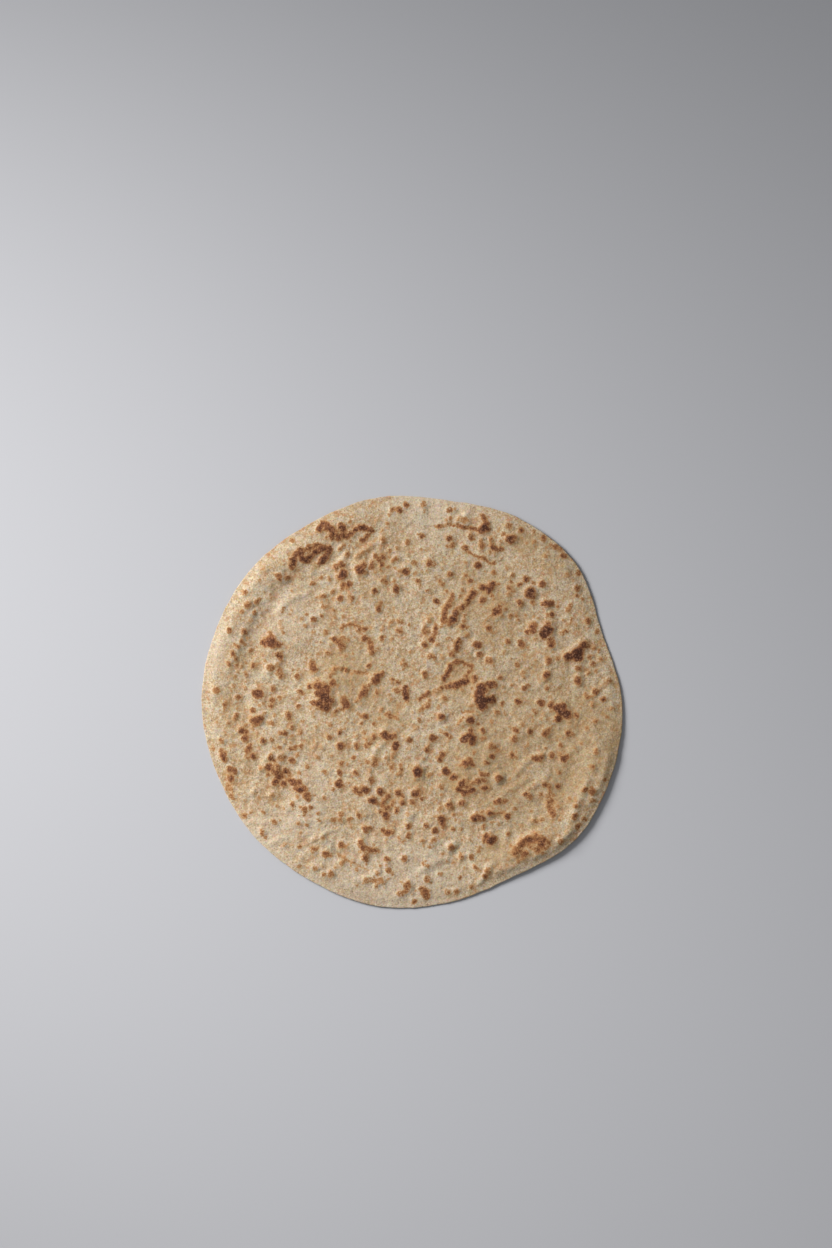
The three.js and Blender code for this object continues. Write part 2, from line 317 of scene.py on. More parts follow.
MARKS = {
    "upper left": [
        (-71, 96, 1.6, .35), (-51, 103.3, 2, .55), (-45, 100, 2, .5), (-41.5, 102.5, 1.7, .5),
        (-79, 75, 1.8, .5), (-78.5, 73, 1.5, .5), (-74, 73.5, 1.5, .55), (-54, 74, 1.2, .35),
        (-49, 73, 1.2, .3), (-58.5, 70, 1.2, .4), (-99, 65, 1.6, .45), (-97.5, 57.5, 2.2, .36),
        (-92, 59.5, 1.3, .6), (-101, 53.5, 1.2, .45), (-93.5, 53, 1.1, .6), (-108.5, 42.5, 1.6, .5),
        (-99.5, 42, 1.6, .7), (-76.5, 41, 1, .4), (-83.5, 41, .9, .35), (-53, 63, 1.6, .4),
        (-47, 65.5, 1.3, .45), (-53, 56.5, 1.1, .5), (-46.2, 54.5, .9, .45), (-53.5, 51, 1, .4),
        (-58.5, 49, 1.5, .6), (-45.5, 49.8, .9, .45), (-51, 41.5, 1.5, .35), (-88.5, 79.5, 2.2, .12),
    ],
    "top": [
        (-40.5, 92.5, 1.1, .5), (-36.5, 107, 1, .4), (-38, 87.5, 1.6, .5), (-42, 81.5, 2, .6),
        (-45, 80.5, 1.6, .6), (-41, 76, 2.6, .9), (-43, 74, 1.8, .6), (-37.5, 70, 1.8, .75),
        (-41, 69.5, 1.5, .6), (-41.5, 67, 1.2, .5), (-42.5, 61.5, 1.8, .65), (-37, 62.5, 1.3, .5),
        (-35.5, 61.5, 1.3, .5), (-31, 78.5, 2.8, .8), (-29, 81.5, 1.8, .6), (-21.5, 86, 1.5, .55),
        (-17.5, 86, 1.8, .65), (-18, 81.5, 1.5, .6), (-19.5, 84, 1.3, .4), (-13.5, 89.5, 1.3, .45),
        (-17, 96.5, 2, .3), (-2.5, 95, 1.4, .45), (-9, 91, 1, .5), (-9.5, 85, 1.5, .45),
        (-11, 84, 1.2, .35), (-4, 77.3, 2.2, .75), (1, 82.5, 1.6, .35), (10.5, 82.3, 2.2, .55),
        (13.5, 82, 1.4, .3), (-17, 72, 2, .28), (-15.5, 71, 1.5, .35), (-19, 79, .8, .4),
        (-21.5, 77, .8, .4), (-13, 89, .9, .4), (-14, 86, .8, .4), (-18, 77.5, .8, .35),
        (-22, 65.8, 1.7, .65), (-9.5, 67, 2.3, .75), (3.5, 71.8, 1.4, .6), (9, 66, .9, .55),
        (-20, 55, 1.5, .7), (5.8, 98.7, 1.7, .55), (22, 97.2, 1.6, .85), (23.8, 93, 1.4, .6),
        (35, 97.5, 1.5, .55), (31.5, 91.5, 1.7, .6), (31, 107.8, 2.3, .24), (28.5, 108.3, 1.9, .2),
        (-11.5, 114, 1.5, .45), (-7.5, 114, 1.7, .7), (-3.5, 117, 1.6, .65), (6.8, 117.3, 2, .33),
        (7.5, 113.3, 1.3, .22), (22.3, 113.7, 1.7, .45), (25.5, 114.5, 1.2, .25), (20.5, 108, 1.4, .22),
        (30, 103.8, 1.1, .85), (39, 81, 1.9, .75), (22.5, 76, 1.8, .5), (34.3, 72, 1.4, .75),
        (32, 75, 1.3, .35), (16.5, 72, 1.1, .5), (18, 70, 1.2, .55), (42, 68, 2.2, .8), (30, 66.5, 1, .4),
        (14.3, 59.7, 1.6, .9), (30, 56.3, 1.4, .85), (23.5, 62, 1.8, .5), (19.5, 53.5, 1.5, .8),
        (25.5, 52.8, 2, .85), (24.5, 49.2, 2.3, .85), (22.8, 47.5, 1.6, .7), (33, 40, 1.4, .3),
        (29.8, 44.7, 1.5, .75), (31, 48, 1.3, .5), (31.2, 50.8, 1.1, .4), (42, 60.8, 1.8, .75),
        (10, 48, 1.6, .3), (7.3, 41.8, 1.3, .6), (-7.8, 48, 1.2, .4), (-2, 46, 1, .4),
        (-12.5, 47.5, 1.4, .35), (-28, 43.3, 1.4, .7), (-32, 42.5, 1.4, .5), (-18, 43, .9, .5),
        (-9, 42.3, 1.1, .4),
    ],
    "upper right": [
        (41, 101.8, 1.8, .9), (57.5, 104.5, 2, .36), (64.5, 102, 1.5, .7), (54, 99.7, 1.2, .55),
        (58, 96.3, 2.4, .85), (60.5, 97.5, 1.8, .6), (47, 96.5, 1.2, .5), (47.5, 93.5, 1, .5),
        (47.5, 91.8, 1.2, .9), (41.5, 93, 1.8, .45), (41, 95.5, 1.2, .4), (46, 88.8, 1.1, .35),
        (78, 97, 1.8, .55), (72.5, 95, 1.2, .45), (72, 101, 1.2, .35), (85, 92, 1.6, .6),
        (82.5, 93, 1.2, .45), (87.5, 90.8, 1.2, .5), (90, 86.7, 1.9, .6), (88.5, 86.5, 1.3, .4),
        (48.5, 77, 1.3, .45), (56, 79, 1, .35), (59.5, 75, 1.2, .4), (67.5, 73, 1.7, .8),
        (63.5, 69.5, 1.3, .7), (57.5, 67.5, 1.7, .5), (72, 70.5, 1, .5), (58.5, 71, .9, .5),
        (77.5, 70, 2, .75), (70, 65.5, 2.6, .9), (71, 62.5, 1.8, .8), (69, 63.5, 2, .8),
        (47, 70, 1.6, .7), (46.5, 67, 1.4, .85), (51, 70, 1, .5), (47.5, 63, 1.2, .5),
        (64, 58.8, 1.7, .75), (71, 58.8, 1, .4), (80, 58.5, 1.8, .8), (83, 59, 1.5, .75),
        (78, 58.5, 1.5, .6), (86.5, 56.5, 1.2, .4), (83, 52, 1.6, .75), (94, 57.3, 1.3, .5),
        (92.5, 54.5, 1.3, .4), (98, 67.3, 1.7, .55), (98, 63, 1, .45), (101, 61, 1, .4),
        (98.5, 76.5, 1.5, .45), (92, 76, 1.3, .3), (50.5, 54.2, 2.8, .65), (49.2, 53.2, 1.7, .85),
        (51.5, 56.8, 1.4, .55), (58.5, 51.5, 1.1, .5), (62, 51.3, 1, .5), (45.5, 43.8, 1.8, .55),
        (63, 48.5, 1, .35), (71.5, 44.5, 2.2, .7), (71.5, 42.5, 2, .7), (68.5, 41.5, 1.6, .55),
        (73, 46.5, 1.3, .4), (80, 42.5, 3.3, .95), (80.5, 46, 1.8, .6), (104.5, 48.3, 1.7, .65),
        (91.5, 42.3, 1.2, .6), (110, 42, 1.5, .45),
    ],
    "left": [
        (-83, 37, 2.6, .7), (-86, 35, 2.2, .6), (-80.5, 34.8, 2, .7), (-77.5, 34, 1, .5),
        (-83.5, 34, 2.4, .7), (-79, 28, 2.1, .6), (-77.8, 26.3, 1.6, .55), (-84, 20.5, 2.4, .4),
        (-78.5, 18.5, 2, .4), (-77.5, 16, 1.6, .4), (-94, 21.5, 1.8, .5), (-68, 15, 1.7, .45),
        (-99, 17, 1.2, .35), (-49.5, 29, 1.4, .4), (-46, 37.5, 1.5, .75), (-43.5, 35.5, 2.5, .5),
        (-41.5, 33, 2.1, .5), (-106.5, 29, 1.5, .6), (-103, 32.5, 1.2, .5), (-101, 36, 1.3, .45),
        (-109, 23, 1.2, .45), (-95.5, 30.5, 1.2, .45), (-97.5, 38, .9, .4), (-99, 34, .9, .4),
        (-101, 22, .8, .35), (-104.5, 26, 1.1, .5), (-104, 22, 1, .45), (-105, 15, .9, .4),
        (-91.5, 5, 3.1, .75), (-82.5, 7.8, 1.8, .45), (-103, 2.7, 1.7, .5), (-66, 6, 1.7, .65),
        (-83, 1, 1.5, .6), (-84, -2, 1.4, .6), (-78.5, 2.5, 1.5, .35), (-67.5, -2.8, 1.4, .5),
        (-56, 10, 2.6, .65), (-55.5, 5, 2.2, .75), (-53, 7.5, 2.4, .6), (-51, 8, 2.6, .65),
        (-57.5, -.6, 1.7, .8), (-59.3, -.7, 1.3, .7), (-54.8, -.6, 2.2, .9), (-52, 3, 3.5, .8),
        (-51, -3, 2.6, .75), (-49, .5, 2.6, .7), (-53.5, -2.8, 1.8, .7), (-47.3, 11, 2.2, .5),
        (-44.5, 10, 1.4, .3), (-60.5, 9.3, 1.4, .6), (-56, 12.8, 1.3, .45), (-50.5, -5, 1.3, .6),
        (-94.5, -5, 1.5, .55), (-92, -11, 2.6, .75), (-94.5, -11.3, 1.8, .65), (-90, -9.8, 1.8, .65),
        (-92.5, -13, 1.3, .6), (-73.5, -7.5, 1.9, .45), (-73, -9.5, 1.5, .55), (-81.5, -8, .9, .4),
        (-83, -12.3, 1.1, .5), (-85, -12.5, .9, .4), (-104.5, -7.5, 1.1, .4), (-105, -10, 1.3, .4),
        (-98.5, -13.8, .9, .5), (-101, -17, 2, .7), (-99, -17.3, 1.5, .6), (-99, -21.5, 2, .7),
        (-113, -23, 1.6, .5), (-118.5, -27.5, 1.4, .4), (-88.5, -23, 1.7, .75), (-83.5, -22, 1.2, .5),
        (-94.5, -32.3, 1.7, .75), (-98, -32.5, 1.2, .45), (-113, -29, 1.4, .6), (-112, -31.5, 2.1, .7),
        (-111.5, -34, 1.7, .65), (-108, -40, 1.9, .7), (-105.5, -41, 1.5, .65), (-71.5, -15.5, 1.2, .4),
        (-66.5, -18, 1.4, .4), (-72.6, -27.8, 1.3, .6), (-66, -26.5, 1.3, .45), (-78.5, -27, 1.1, .5),
        (-48.5, -13.8, 1.3, .35), (-49.3, -20.8, 1.5, .5), (-43, -18.3, 1.2, .6), (-42.5, -26, 2.1, .85),
        (-68, -31.5, 1.2, .4), (-71.5, -34.5, 1.9, .55), (-83.9, -33, 1.8, .6), (-82, -34.8, 1.1, .5),
        (-77.3, -33, 2.2, .35), (-84.7, -38.9, 2.3, .75), (-85.4, -43.2, 1.2, .5), (-74.7, -41, 1.9, .8),
        (-72.5, -43.6, 1.2, .5), (-79.9, -38.9, 1.6, .4), (-56, -32.5, 1.3, .35), (-52, -41.5, 1.4, .4),
        (-43, -42, 1.6, .65), (-42, -36.5, 1.4, .45), (-116, 7, 2, .35), (-111, -1.5, 1.3, .5),
        (-111, -4, 1, .4),
    ],
    "middle": [
        (-28, 37.8, 1.9, .7), (-25, 35.5, 1.5, .35), (-17.5, 37.8, 1.8, .5), (-21, 31, 1.2, .35),
        (-41, 38, 1.5, .35), (-25.5, 21.7, 1.4, .6), (-20.8, 5.7, 1.1, .6), (-22.8, -13, .9, .5),
        (-18, -3.9, 1.1, .3), (-39.4, 27.2, 1.3, .3), (-4, 22, 1.5, .35), (-42, 19.8, 1.2, .5),
        (-39, 18.8, 1.3, .5), (-11.5, 13.2, 1.2, .4), (-8.5, 12.3, 1.3, .5), (-8.7, 6.5, 1.7, .52),
        (9, -2.3, 1.8, .5), (7.5, 16.5, 1.8, .6), (10.5, 27, 1.6, .5), (13, 26.5, 1.2, .4),
        (7.5, 34, 1.8, .65), (15.5, 34, 1.1, .4), (21.5, 37.8, 1.2, .4), (23.2, 28.5, 1.7, .5),
        (39, 33.8, 2.4, .75), (40, 28, 1.7, .6), (35.5, 21.2, 1.3, .65), (15.8, 6, 1.1, .3),
        (29.6, 7.4, 1.3, .3), (17.5, 8.7, 1.2, .6), (19.5, 2, 1.4, .35), (37, 14.3, 1.8, .65),
        (36.5, 12.8, 1.2, .5), (41, 8.5, 2.6, .8), (40, 5, 3, .85), (41, 1.2, 3.6, 1), (41.5, -2, 3, .85),
        (45.4, .8, 2.3, .95), (47.8, 2, 2, .75), (43.6, 7, 1.6, .5), (-27.8, -8.6, 1.7, .6),
        (-30.2, -8.6, 1.1, .5), (-32.3, -7, .9, .4), (-4, 4.8, 1.9, .95), (-3.6, 2.8, 1.7, .95),
        (-3, 1, 1.1, .8), (-13.5, -8, 2, .45), (4.5, -11, 1.2, .5), (17.4, -8.8, 2.1, .7),
        (-16, -19.8, 2.3, .85), (-13, -20.5, 1.8, .8), (-10.5, -20, 1.5, .6), (-18, -19, 1.5, .6),
        (-1.5, -22.7, 1.8, .45), (-22.5, -21, 1.2, .5), (-33, -26, 1.8, .5), (-34.5, -33.3, 1.4, .45),
        (-22, -34, 1.5, .45), (-22, -37, 1.8, .6), (12, -21.5, 2, .65), (13.8, -21.5, 1.4, .5),
        (20.5, -19.3, 1.5, .65), (22.5, -20.5, 1.4, .45), (8.7, -28.5, 1.5, .6), (34.5, -10.8, 2.5, .8),
        (39, -13, 1, .5), (42, -17, 1.7, .6), (31, -22, 2.4, .9), (33.5, -20, 2, .85),
        (36, -21.5, 2.2, .85), (35.5, -24, 1.8, .8), (35, -17.5, 1.6, .7), (31.5, -36.5, 2.1, .7),
        (34, -35, 2, .6), (36, -37, 1.4, .5), (3.2, -41.2, 2.9, .9), (20, -41, 2.3, .9),
        (-33.5, -42, 1.6, .5),
    ],
    "right": [
        (57, 36, 1.6, .65), (64.5, 35, 1.9, .6), (65.5, 33, 1.6, .4), (78, 40, 2.4, .9),
        (82.5, 34.5, 2.4, .5), (82, 37, 2, .45), (73.5, 37, 1.3, .35), (98, 28, 3.7, 1),
        (92.5, 27, 2.5, .85), (102, 33.8, 2.4, .8), (99.8, 31, 2.2, .8), (105, 33, 1.1, .5),
        (95.3, 27.8, 2.2, .85), (81, 24.5, 1.8, .6), (86.5, 25.7, 1.2, .55), (80, 26.5, 1, .35),
        (108, 32, 1.3, .45), (111, 30.5, 1.3, .4), (105.6, 26.5, 1.4, .5), (107, 23, 1.6, .55),
        (112.2, 25.2, 1.4, .4), (46, 24.5, 1.9, .45), (62.5, 22, 1.4, .5), (52.3, 14.3, 1.4, .55),
        (79.8, 16.3, 2, .75), (66.8, 8.5, 1.7, .6), (69, 9.5, 1.1, .35), (98.5, 12.7, 2.3, .7),
        (98.5, 20, 1.7, .45), (104.5, 17, 1.1, .4), (109, 6, 1.7, .6), (117, 12.8, 1.5, .45),
        (80, 8, 1.5, .45), (48, 10, 1.8, .5), (63, .3, 1.9, .7), (53.5, -1, 1.4, .4),
        (76.5, -.5, 2.2, .65), (82.5, -1.8, 2, .6), (73, -6, 1.4, .35), (72, -4.8, 1, .4),
        (86, -3.8, 2.2, .9), (89.8, -2.8, 2.1, .85), (88, -6, 2.2, .95), (91.3, -7.3, 2.7, .95),
        (87, -10, 1.9, .8), (97.5, -8, 1.6, .6), (94, -8.5, 1.4, .5), (104, 2.5, 1.4, .4),
        (113.5, 1.5, 1.6, .5), (107, -1.5, 1.2, .4), (119, -4, 1.3, .35), (109, -11.3, 1.3, .4),
        (51, -6.5, 1.5, .35), (61.5, -16.8, 1.8, .65), (70, -17.6, 1.6, .6), (79, -18.5, 2.2, .55),
        (81, -16.5, 1.5, .5), (92.5, -18.7, 1.6, .6), (95, -19, 1.3, .45), (43.7, -21.3, 1, .5),
        (47, -26, 2.2, .4), (60.7, -22, 1.8, .6), (51, -29, 1.2, .4), (47.5, -32.3, 1.5, .75),
        (59.3, -32, 1.4, .5), (88, -25.8, 1.4, .5), (69, -25, 1, .4), (79.5, -27.3, 1, .4),
        (83, -31.5, 1.7, .6), (74, -33.5, 2, .65), (76.5, -32.5, 1.6, .5), (72, -33, 1.5, .5),
        (90, -33.8, 2, .8), (92, -32.5, 1.4, .65), (88, -31, 1.2, .45), (109, -30, 1.6, .35),
        (107, -38.5, 1.5, .4), (44, -36, 1.5, .5), (42, -43, 1.7, .6), (87, -42, 1.2, .4),
    ],
    "lower left": [
        (-107.5, -45.5, 2, .75), (-110, -51, 1.3, .35), (-108, -53, 1.3, .3), (-107.5, -55.5, 1.7, .35),
        (-81, -47.5, 1.9, .8), (-76, -48.3, 1.8, .85), (-79.1, -44, 2.1, .75), (-72, -46.5, 1.5, .6),
        (-70.5, -47.5, 2, .8), (-67, -48, 1.7, .7), (-66, -52, 2.2, .8), (-69, -51, 1.6, .6),
        (-62, -55.6, 2.2, .5), (-61.5, -57.5, 1.3, .6), (-63.7, -50.6, 1.2, .5), (-71, -60.3, 1.2, .4),
        (-63.8, -63.5, 1.4, .6), (-60, -62.3, 1, .75), (-66, -62.5, 1, .45), (-52, -57, 1, .5),
        (-55.5, -66, 1.1, .5), (-46.5, -69.5, 1.5, .42), (-42.5, -70, 1.5, .4), (-55.5, -70, 1.3, .35),
        (-62.5, -73.2, 1, .45), (-43.5, -49, 2.2, .75), (-43, -47, 1.6, .7), (-47, -52, 1, .45),
        (-82, -55, 1.8, .15), (-99.5, -67.5, 1.8, .4), (-95.5, -65, 1.2, .3), (-88.5, -65.5, 1.2, .4),
        (-82, -71.2, 1.6, .45), (-89, -77.5, 1.9, .35), (-87.5, -80.7, 1.2, .45), (-75.5, -84.5, 1.1, .4),
        (-58.5, -87.5, 1.8, .45), (-56.5, -87, 1.1, .4), (-51, -90, 2.2, .42), (-48.5, -91, 1.4, .35),
        (-42, -84.8, 1.8, .6), (-39.8, -86, 1.3, .35), (-42, -96, 1.5, .35), (-53, -80.5, 1.3, .35),
        (-57.5, -98.7, 1.6, .3), (-67, -97.5, 1.2, .35), (-52, -102.3, 1.6, .35),
        (-48.3, -102.3, 1.8, .3),
    ],
    "bottom": [
        (-24, -46.5, 1.8, .55), (-33.5, -52, 2, .65), (-31, -54, 1.8, .55), (-27.5, -52.5, 2.3, .85),
        (-19, -53, 2.1, .85), (-23.5, -58.5, 2.3, .85), (-14.2, -56.3, 1.4, .65), (-16.5, -58.3, 1.3, .6),
        (-17.5, -61, 1.3, .55), (-14.5, -62.8, 1.4, .65), (-12, -61.2, 1.2, .6), (-11, -59, 1.1, .6),
        (-18.8, -64.8, 1.2, .5), (-15.5, -67.5, 2.3, .75), (-9, -64.5, 1.7, .75), (-6, -60, 1.3, .6),
        (-5, -56.5, 1.1, .65), (-8.5, -54, 1.8, .75), (-7, -54.5, 1.2, .5), (2, -54.5, 2.2, .8),
        (4, -53, 1.3, .5), (6, -57.3, 1.1, .6), (.3, -59.3, 1.5, .65), (1.5, -61, 1, .4),
        (24.7, -44.5, 1.9, .8), (29.6, -48, 2, .8), (27.6, -51.7, 1.8, .8), (30.8, -54, 1.8, .8),
        (32.8, -50, 1.3, .6), (35.6, -52.2, 2, .85), (33.3, -53, 1.2, .65), (39.3, -47, 1.9, .75),
        (42.5, -46.5, 1.5, .6), (36.5, -47.8, 1.2, .5), (43, -51, 1.8, .7), (17.5, -50.5, 1.8, .3),
        (22, -61.3, 1.9, .65), (29.3, -60, 1.6, .65), (30, -58.5, 1, .5), (24.8, -67, 1, .4),
        (17.5, -69.5, 2.1, .8), (18, -72, 1.8, .75), (18.5, -74, 1.1, .5), (8.3, -73.2, 1.4, .75),
        (13.5, -76.3, 1.5, .9), (24.3, -75.3, 1.2, .5), (37, -69, 2, .8), (42, -69, 1.7, .7),
        (41.5, -65, 1, .4), (-31.5, -67.5, 1.6, .55), (-42, -66.5, 1.5, .45), (-37.5, -69.5, 1.3, .45),
        (-27.7, -75.5, 1.9, .75), (-25, -75, 1, .4), (-2.2, -73.7, 1.6, .65), (-2.5, -79.8, 1.1, .5),
        (-7.8, -80.4, .9, .6), (-14.5, -77.5, 2, .7), (-17, -76.5, 1.5, .55), (-12, -77, 1.5, .55),
        (-30.5, -84, 2.2, .5), (-28.5, -87, 1.6, .45), (-27.5, -92.5, 1.9, .5), (-27, -90.5, 1.2, .4),
        (-14.8, -93.2, 1.6, .6), (-4.8, -93, 1.9, .4), (-14, -100, 1.4, .6), (-12, -101.5, 1, .5),
        (-20.3, -102, 1.4, .35), (-23.5, -105.3, 1.7, .3), (23.4, -86.3, 1.7, .65), (13, -82.3, 1.8, .35),
        (6.5, -82.5, 1.2, .4), (29.3, -91.5, 1.4, .5), (35.2, -92, 1.5, .6), (38, -98.5, 1.4, .4),
        (28.5, -104, 1.1, .5), (35, -109.8, 1.2, .45), (9, -105, 1.9, .35), (-3, -109.3, 2.4, .38),
        (7.5, -112.5, 2.2, .48), (21, -113, 1.7, .4), (26.5, -112.5, 1.7, .4), (1.5, -118.3, 1.4, .45),
    ],
    "lower right": [
        (51.5, -45, 2.2, .6), (44.5, -43, 1.2, .6), (51.5, -58.8, 1.8, .75), (54, -59.3, 1.2, .55),
        (49, -59.5, 1.1, .5), (69.5, -56.5, 1.7, .5), (67.6, -54.7, 1.3, .65), (76, -54.8, 1.5, .4),
        (79, -48.8, 1.5, .65), (81.5, -49.8, 1.3, .5), (86.5, -49.8, 1.6, .75), (85.5, -60, 2.4, .1),
        (83.8, -66.3, 2, .6), (97, -61.5, 1.3, .5), (102.5, -52, 1.8, .5), (107, -53, 2, .5),
        (106.5, -50.8, 1.2, .4), (107.5, -58.5, 1.8, .3), (114.5, -46, 1.3, .4), (96.3, -67.8, 1.7, .7),
        (102.3, -69.3, 1.6, .5), (98.5, -73, 1.5, .6), (97.5, -75, 1.1, .4), (46, -66, 1.8, .8),
        (56.7, -67.8, 1.7, .85), (61, -63.5, 1.2, .4), (42.5, -73.3, 1.2, .45), (73, -70.5, 1.3, .4),
        (77, -69.5, 1.3, .45), (46.5, -82, 2.8, .9), (48.5, -81, 1.8, .85), (44, -79.5, 1.8, .6),
        (43, -82, 1.6, .5), (57, -78.5, 1.4, .35), (58.5, -85, 1, .4), (64.4, -84.8, 2.2, .5),
        (61.6, -87.2, 1.8, .4), (66.8, -83, 1.6, .45), (66.6, -90, 2.4, .5), (63.2, -94.2, 1.2, .45),
        (65.2, -92, 1.4, .4), (69.4, -81.2, 2.2, .75), (71.8, -82.2, 1.8, .75), (73.6, -78.9, 1.6, .6),
        (75, -81.5, 2.0, .55), (76.6, -83.8, 2.3, .65), (78.5, -81.5, 1.8, .45), (80.5, -83.5, 1.8, .4),
        (74, -88, 2.1, .4), (77, -89.5, 1.4, .35), (70, -86, 1.5, .3), (88, -82.5, 1.7, .4),
        (45, -100, 1.9, .4), (43.5, -103.5, 1.7, .4),
    ],
}

# Long marks, where the dough folded a little: (radius, char, points that it runs through).
LONG_MARKS = [
    (1.55, .92, [(-71.6, 79.6), (-71, 82), (-70, 85), (-68.5, 88)]),
    (1.5, .97, [(-66, 88), (-65.8, 85.2), (-63.5, 83.3), (-60.7, 85.3), (-57.7, 88.3), (-55.3, 89.3)]),
    (1.3, .65, [(-66, 90), (-61, 91.8), (-56.5, 93), (-52, 92.3)]),
    (1.1, .4, [(-62, 88), (-60, 90), (-56, 91.5)]),
    (1.5, .97, [(-53.5, 91), (-51, 91.5), (-49, 90.3), (-50, 88), (-51.5, 86), (-53, 84), (-55, 82)]),
    (1.75, .85, [(-54.5, 103.5), (-53, 105.5), (-50.5, 105), (-48.5, 103.5), (-47, 101.5)]),
    (1.25, .8, [(-47, 101), (-46, 98.5), (-43.5, 98), (-41, 99), (-38.5, 98)]),
    (1.2, .6, [(-47.5, 97.5), (-45, 96.8)]), (1.4, .88, [(-43, 104.5), (-41, 103.5), (-40.5, 101)]),
    (1.35, .95, [(-39, 97.8), (-36.5, 99.5), (-34, 102), (-31, 103.3), (-28, 103), (-25, 102.3),
        (-24, 101.3)]),
    (1.3, .6, [(-26.5, 98.5), (-27.5, 97), (-29.3, 95.5)]),
    (1.1, .25, [(-33, 86.5), (-28, 89.5), (-24, 91)]), (1.2, .6, [(-23.5, 82.5), (-24.2, 79.8)]),
    (0.8, .45, [(-20, 56), (-18.2, 59.5)]), (2.0, .95, [(41.5, 102), (43.3, 103.6), (43.8, 105.3)]),
    (1.6, .5, [(43.8, 105.6), (43.2, 108), (42.7, 110)]),
    (1.5, .8, [(36.2, 64.8), (35.2, 62.8), (34.2, 61)]),
    (1.1, .75, [(33.5, 58.8), (31.5, 57.3), (29.3, 56.3), (27, 55.4)]),
    (1.3, .6, [(23.8, 63.5), (22.8, 60.5), (21.8, 57.8), (20.2, 55)]),
    (1.6, .6, [(20, 54.5), (19, 51.5), (18.4, 48.5)]), (0.9, .4, [(19, 47.5), (17.3, 44.8), (15, 43.8)]),
    (1.2, .8, [(14.4, 44), (14, 41.5), (12.8, 38.5), (11.2, 37)]),
    (1.1, .5, [(-41.5, 42.8), (-40.5, 45), (-38, 46), (-35.5, 46.3), (-33, 45), (-31, 43.5)]),
    (1.3, .75, [(47.5, 91.5), (50, 91), (53, 91)]), (1.5, .95, [(48, 70.8), (46.8, 68.5), (45.8, 65.8)]),
    (0.8, .4, [(44, 48.8), (46, 50), (48, 51)]), (1.9, .62, [(-59.6, 22.8), (-59, 19.4)]),
    (1.9, .75, [(-88, 35), (-84, 35), (-79.5, 34.4)]), (1.8, .75, [(-84.5, 36.8), (-82.5, 37.3)]),
    (1.4, .75, [(-96.5, -26), (-97.8, -29)]), (1.9, .6, [(-40.2, 1.2), (-38.9, -.4), (-39, -1.6)]),
    (0.8, .7, [(-39.3, -2.9), (-42, -4.3), (-45, -4.9)]),
    (1.5, .52, [(-25.5, 36.6), (-24.5, 33), (-24, 30)]),
    (1.3, .85, [(-17.2, 17), (-18.6, 16.4), (-20, 15.6)]),
    (1.8, .85, [(-20.5, 14.8), (-21.3, 13.4), (-22.2, 12)]),
    (1.5, .75, [(-27, 9.4), (-28.2, 7), (-29.6, 4.8)]),
    (1.2, .7, [(-30.6, 3.2), (-31.6, 1.6), (-32.6, .3)]),
    (1.1, .35, [(-49.5, 14.3), (-47.5, 16.8), (-45.5, 19.2), (-43.5, 20.6)]),
    (1.45, .9, [(-4.3, 8.6), (-4, 6.5)]), (1.1, .95, [(4.4, 1.7), (7, 3.6), (9.7, 5.6)]),
    (0.9, .4, [(5, -4.8), (9.5, -1.5)]), (1.6, .75, [(27.6, 37.3), (27, 34.5), (26.6, 31.5)]),
    (1.15, .95, [(18.4, 13.6), (20.8, 16.9), (22.9, 19.8)]),
    (1.05, .6, [(22.3, 21.2), (25, 23.2), (28, 24), (31, 23), (33.6, 21.4)]),
    (1.05, .7, [(35.3, 20.3), (33.8, 18), (32.6, 15.9), (32.1, 13.5)]),
    (1.6, .95, [(20.8, 9.6), (24.4, 9.8), (27.5, 11.2), (30.6, 12), (32.7, 12.5)]),
    (1.8, .75, [(45.8, 10.4), (49.3, 10.2)]), (1.1, .4, [(-15.5, -7.5), (-12, -8.3), (-8, -10.2)]),
    (1.3, .45, [(-23, -22), (-27, -26.5)]), (1.1, .45, [(-79, -17.8), (-77, -18.6), (-75, -19)]),
    (1.6, .95, [(-9.5, -24.2), (-10, -26.6)]), (1.1, .45, [(-11.9, -37.5), (-12, -41)]),
    (1.1, .45, [(-7, -37), (-6.5, -40), (-7.2, -42.5)]),
    (1.2, .6, [(-73, -27.8), (-71, -27.6), (-69.2, -27)]),
    (1.4, .6, [(18.5, -30.5), (17, -32.5), (16.5, -35)]),
    (0.9, .35, [(27, -13.3), (28.8, -10.8), (30.5, -9.2), (33, -9.5)]),
    (0.8, .2, [(111, 8), (114, 10), (117, 12.8)]),
    (1.6, .55, [(-30.5, -84.5), (-27.5, -87.3), (-24, -88), (-20.5, -88.8)]),
    (1.8, .38, [(-2.8, -109), (-4.8, -112.8), (-7.2, -114.8)]),
    (1.6, .3, [(-26.5, -105.6), (-22, -105.2), (-18.5, -106)]),
    (1.9, .5, [(6, -110.8), (8, -113.6), (9.6, -115.8)]),
    (2.0, .34, [(82.3, -54), (81.8, -59), (82, -62.5)]), (1.8, .5, [(82.2, -63.5), (84, -65.8)]),
    (1.3, .8, [(30.5, -46.8), (29, -49), (28.2, -51.6), (30.2, -53.6), (33.4, -53.8), (35.8, -52)]),
    (2.3, .42, [(62, -88.5), (64.5, -84.8), (68.5, -81.8), (73, -80.8), (77.5, -82.5)]),
    (2.0, .35, [(74, -88), (78.5, -86)]), (1.6, .55, [(37, -69), (42, -68.6)]),
    (1.2, .5, [(49, -59.4), (55.5, -58.4)]), (0.8, .6, [(47, -66.5), (50, -66.3), (54.4, -65.2)]),
    (2.0, .4, [(-84, -40), (-80.5, -42), (-77.5, -44)]),
    (2.0, .45, [(-72, -47), (-68, -49.5), (-64, -53)]),
    (1.3, .3, [(-109.5, -49.5), (-108, -53), (-106.8, -57)]),
]

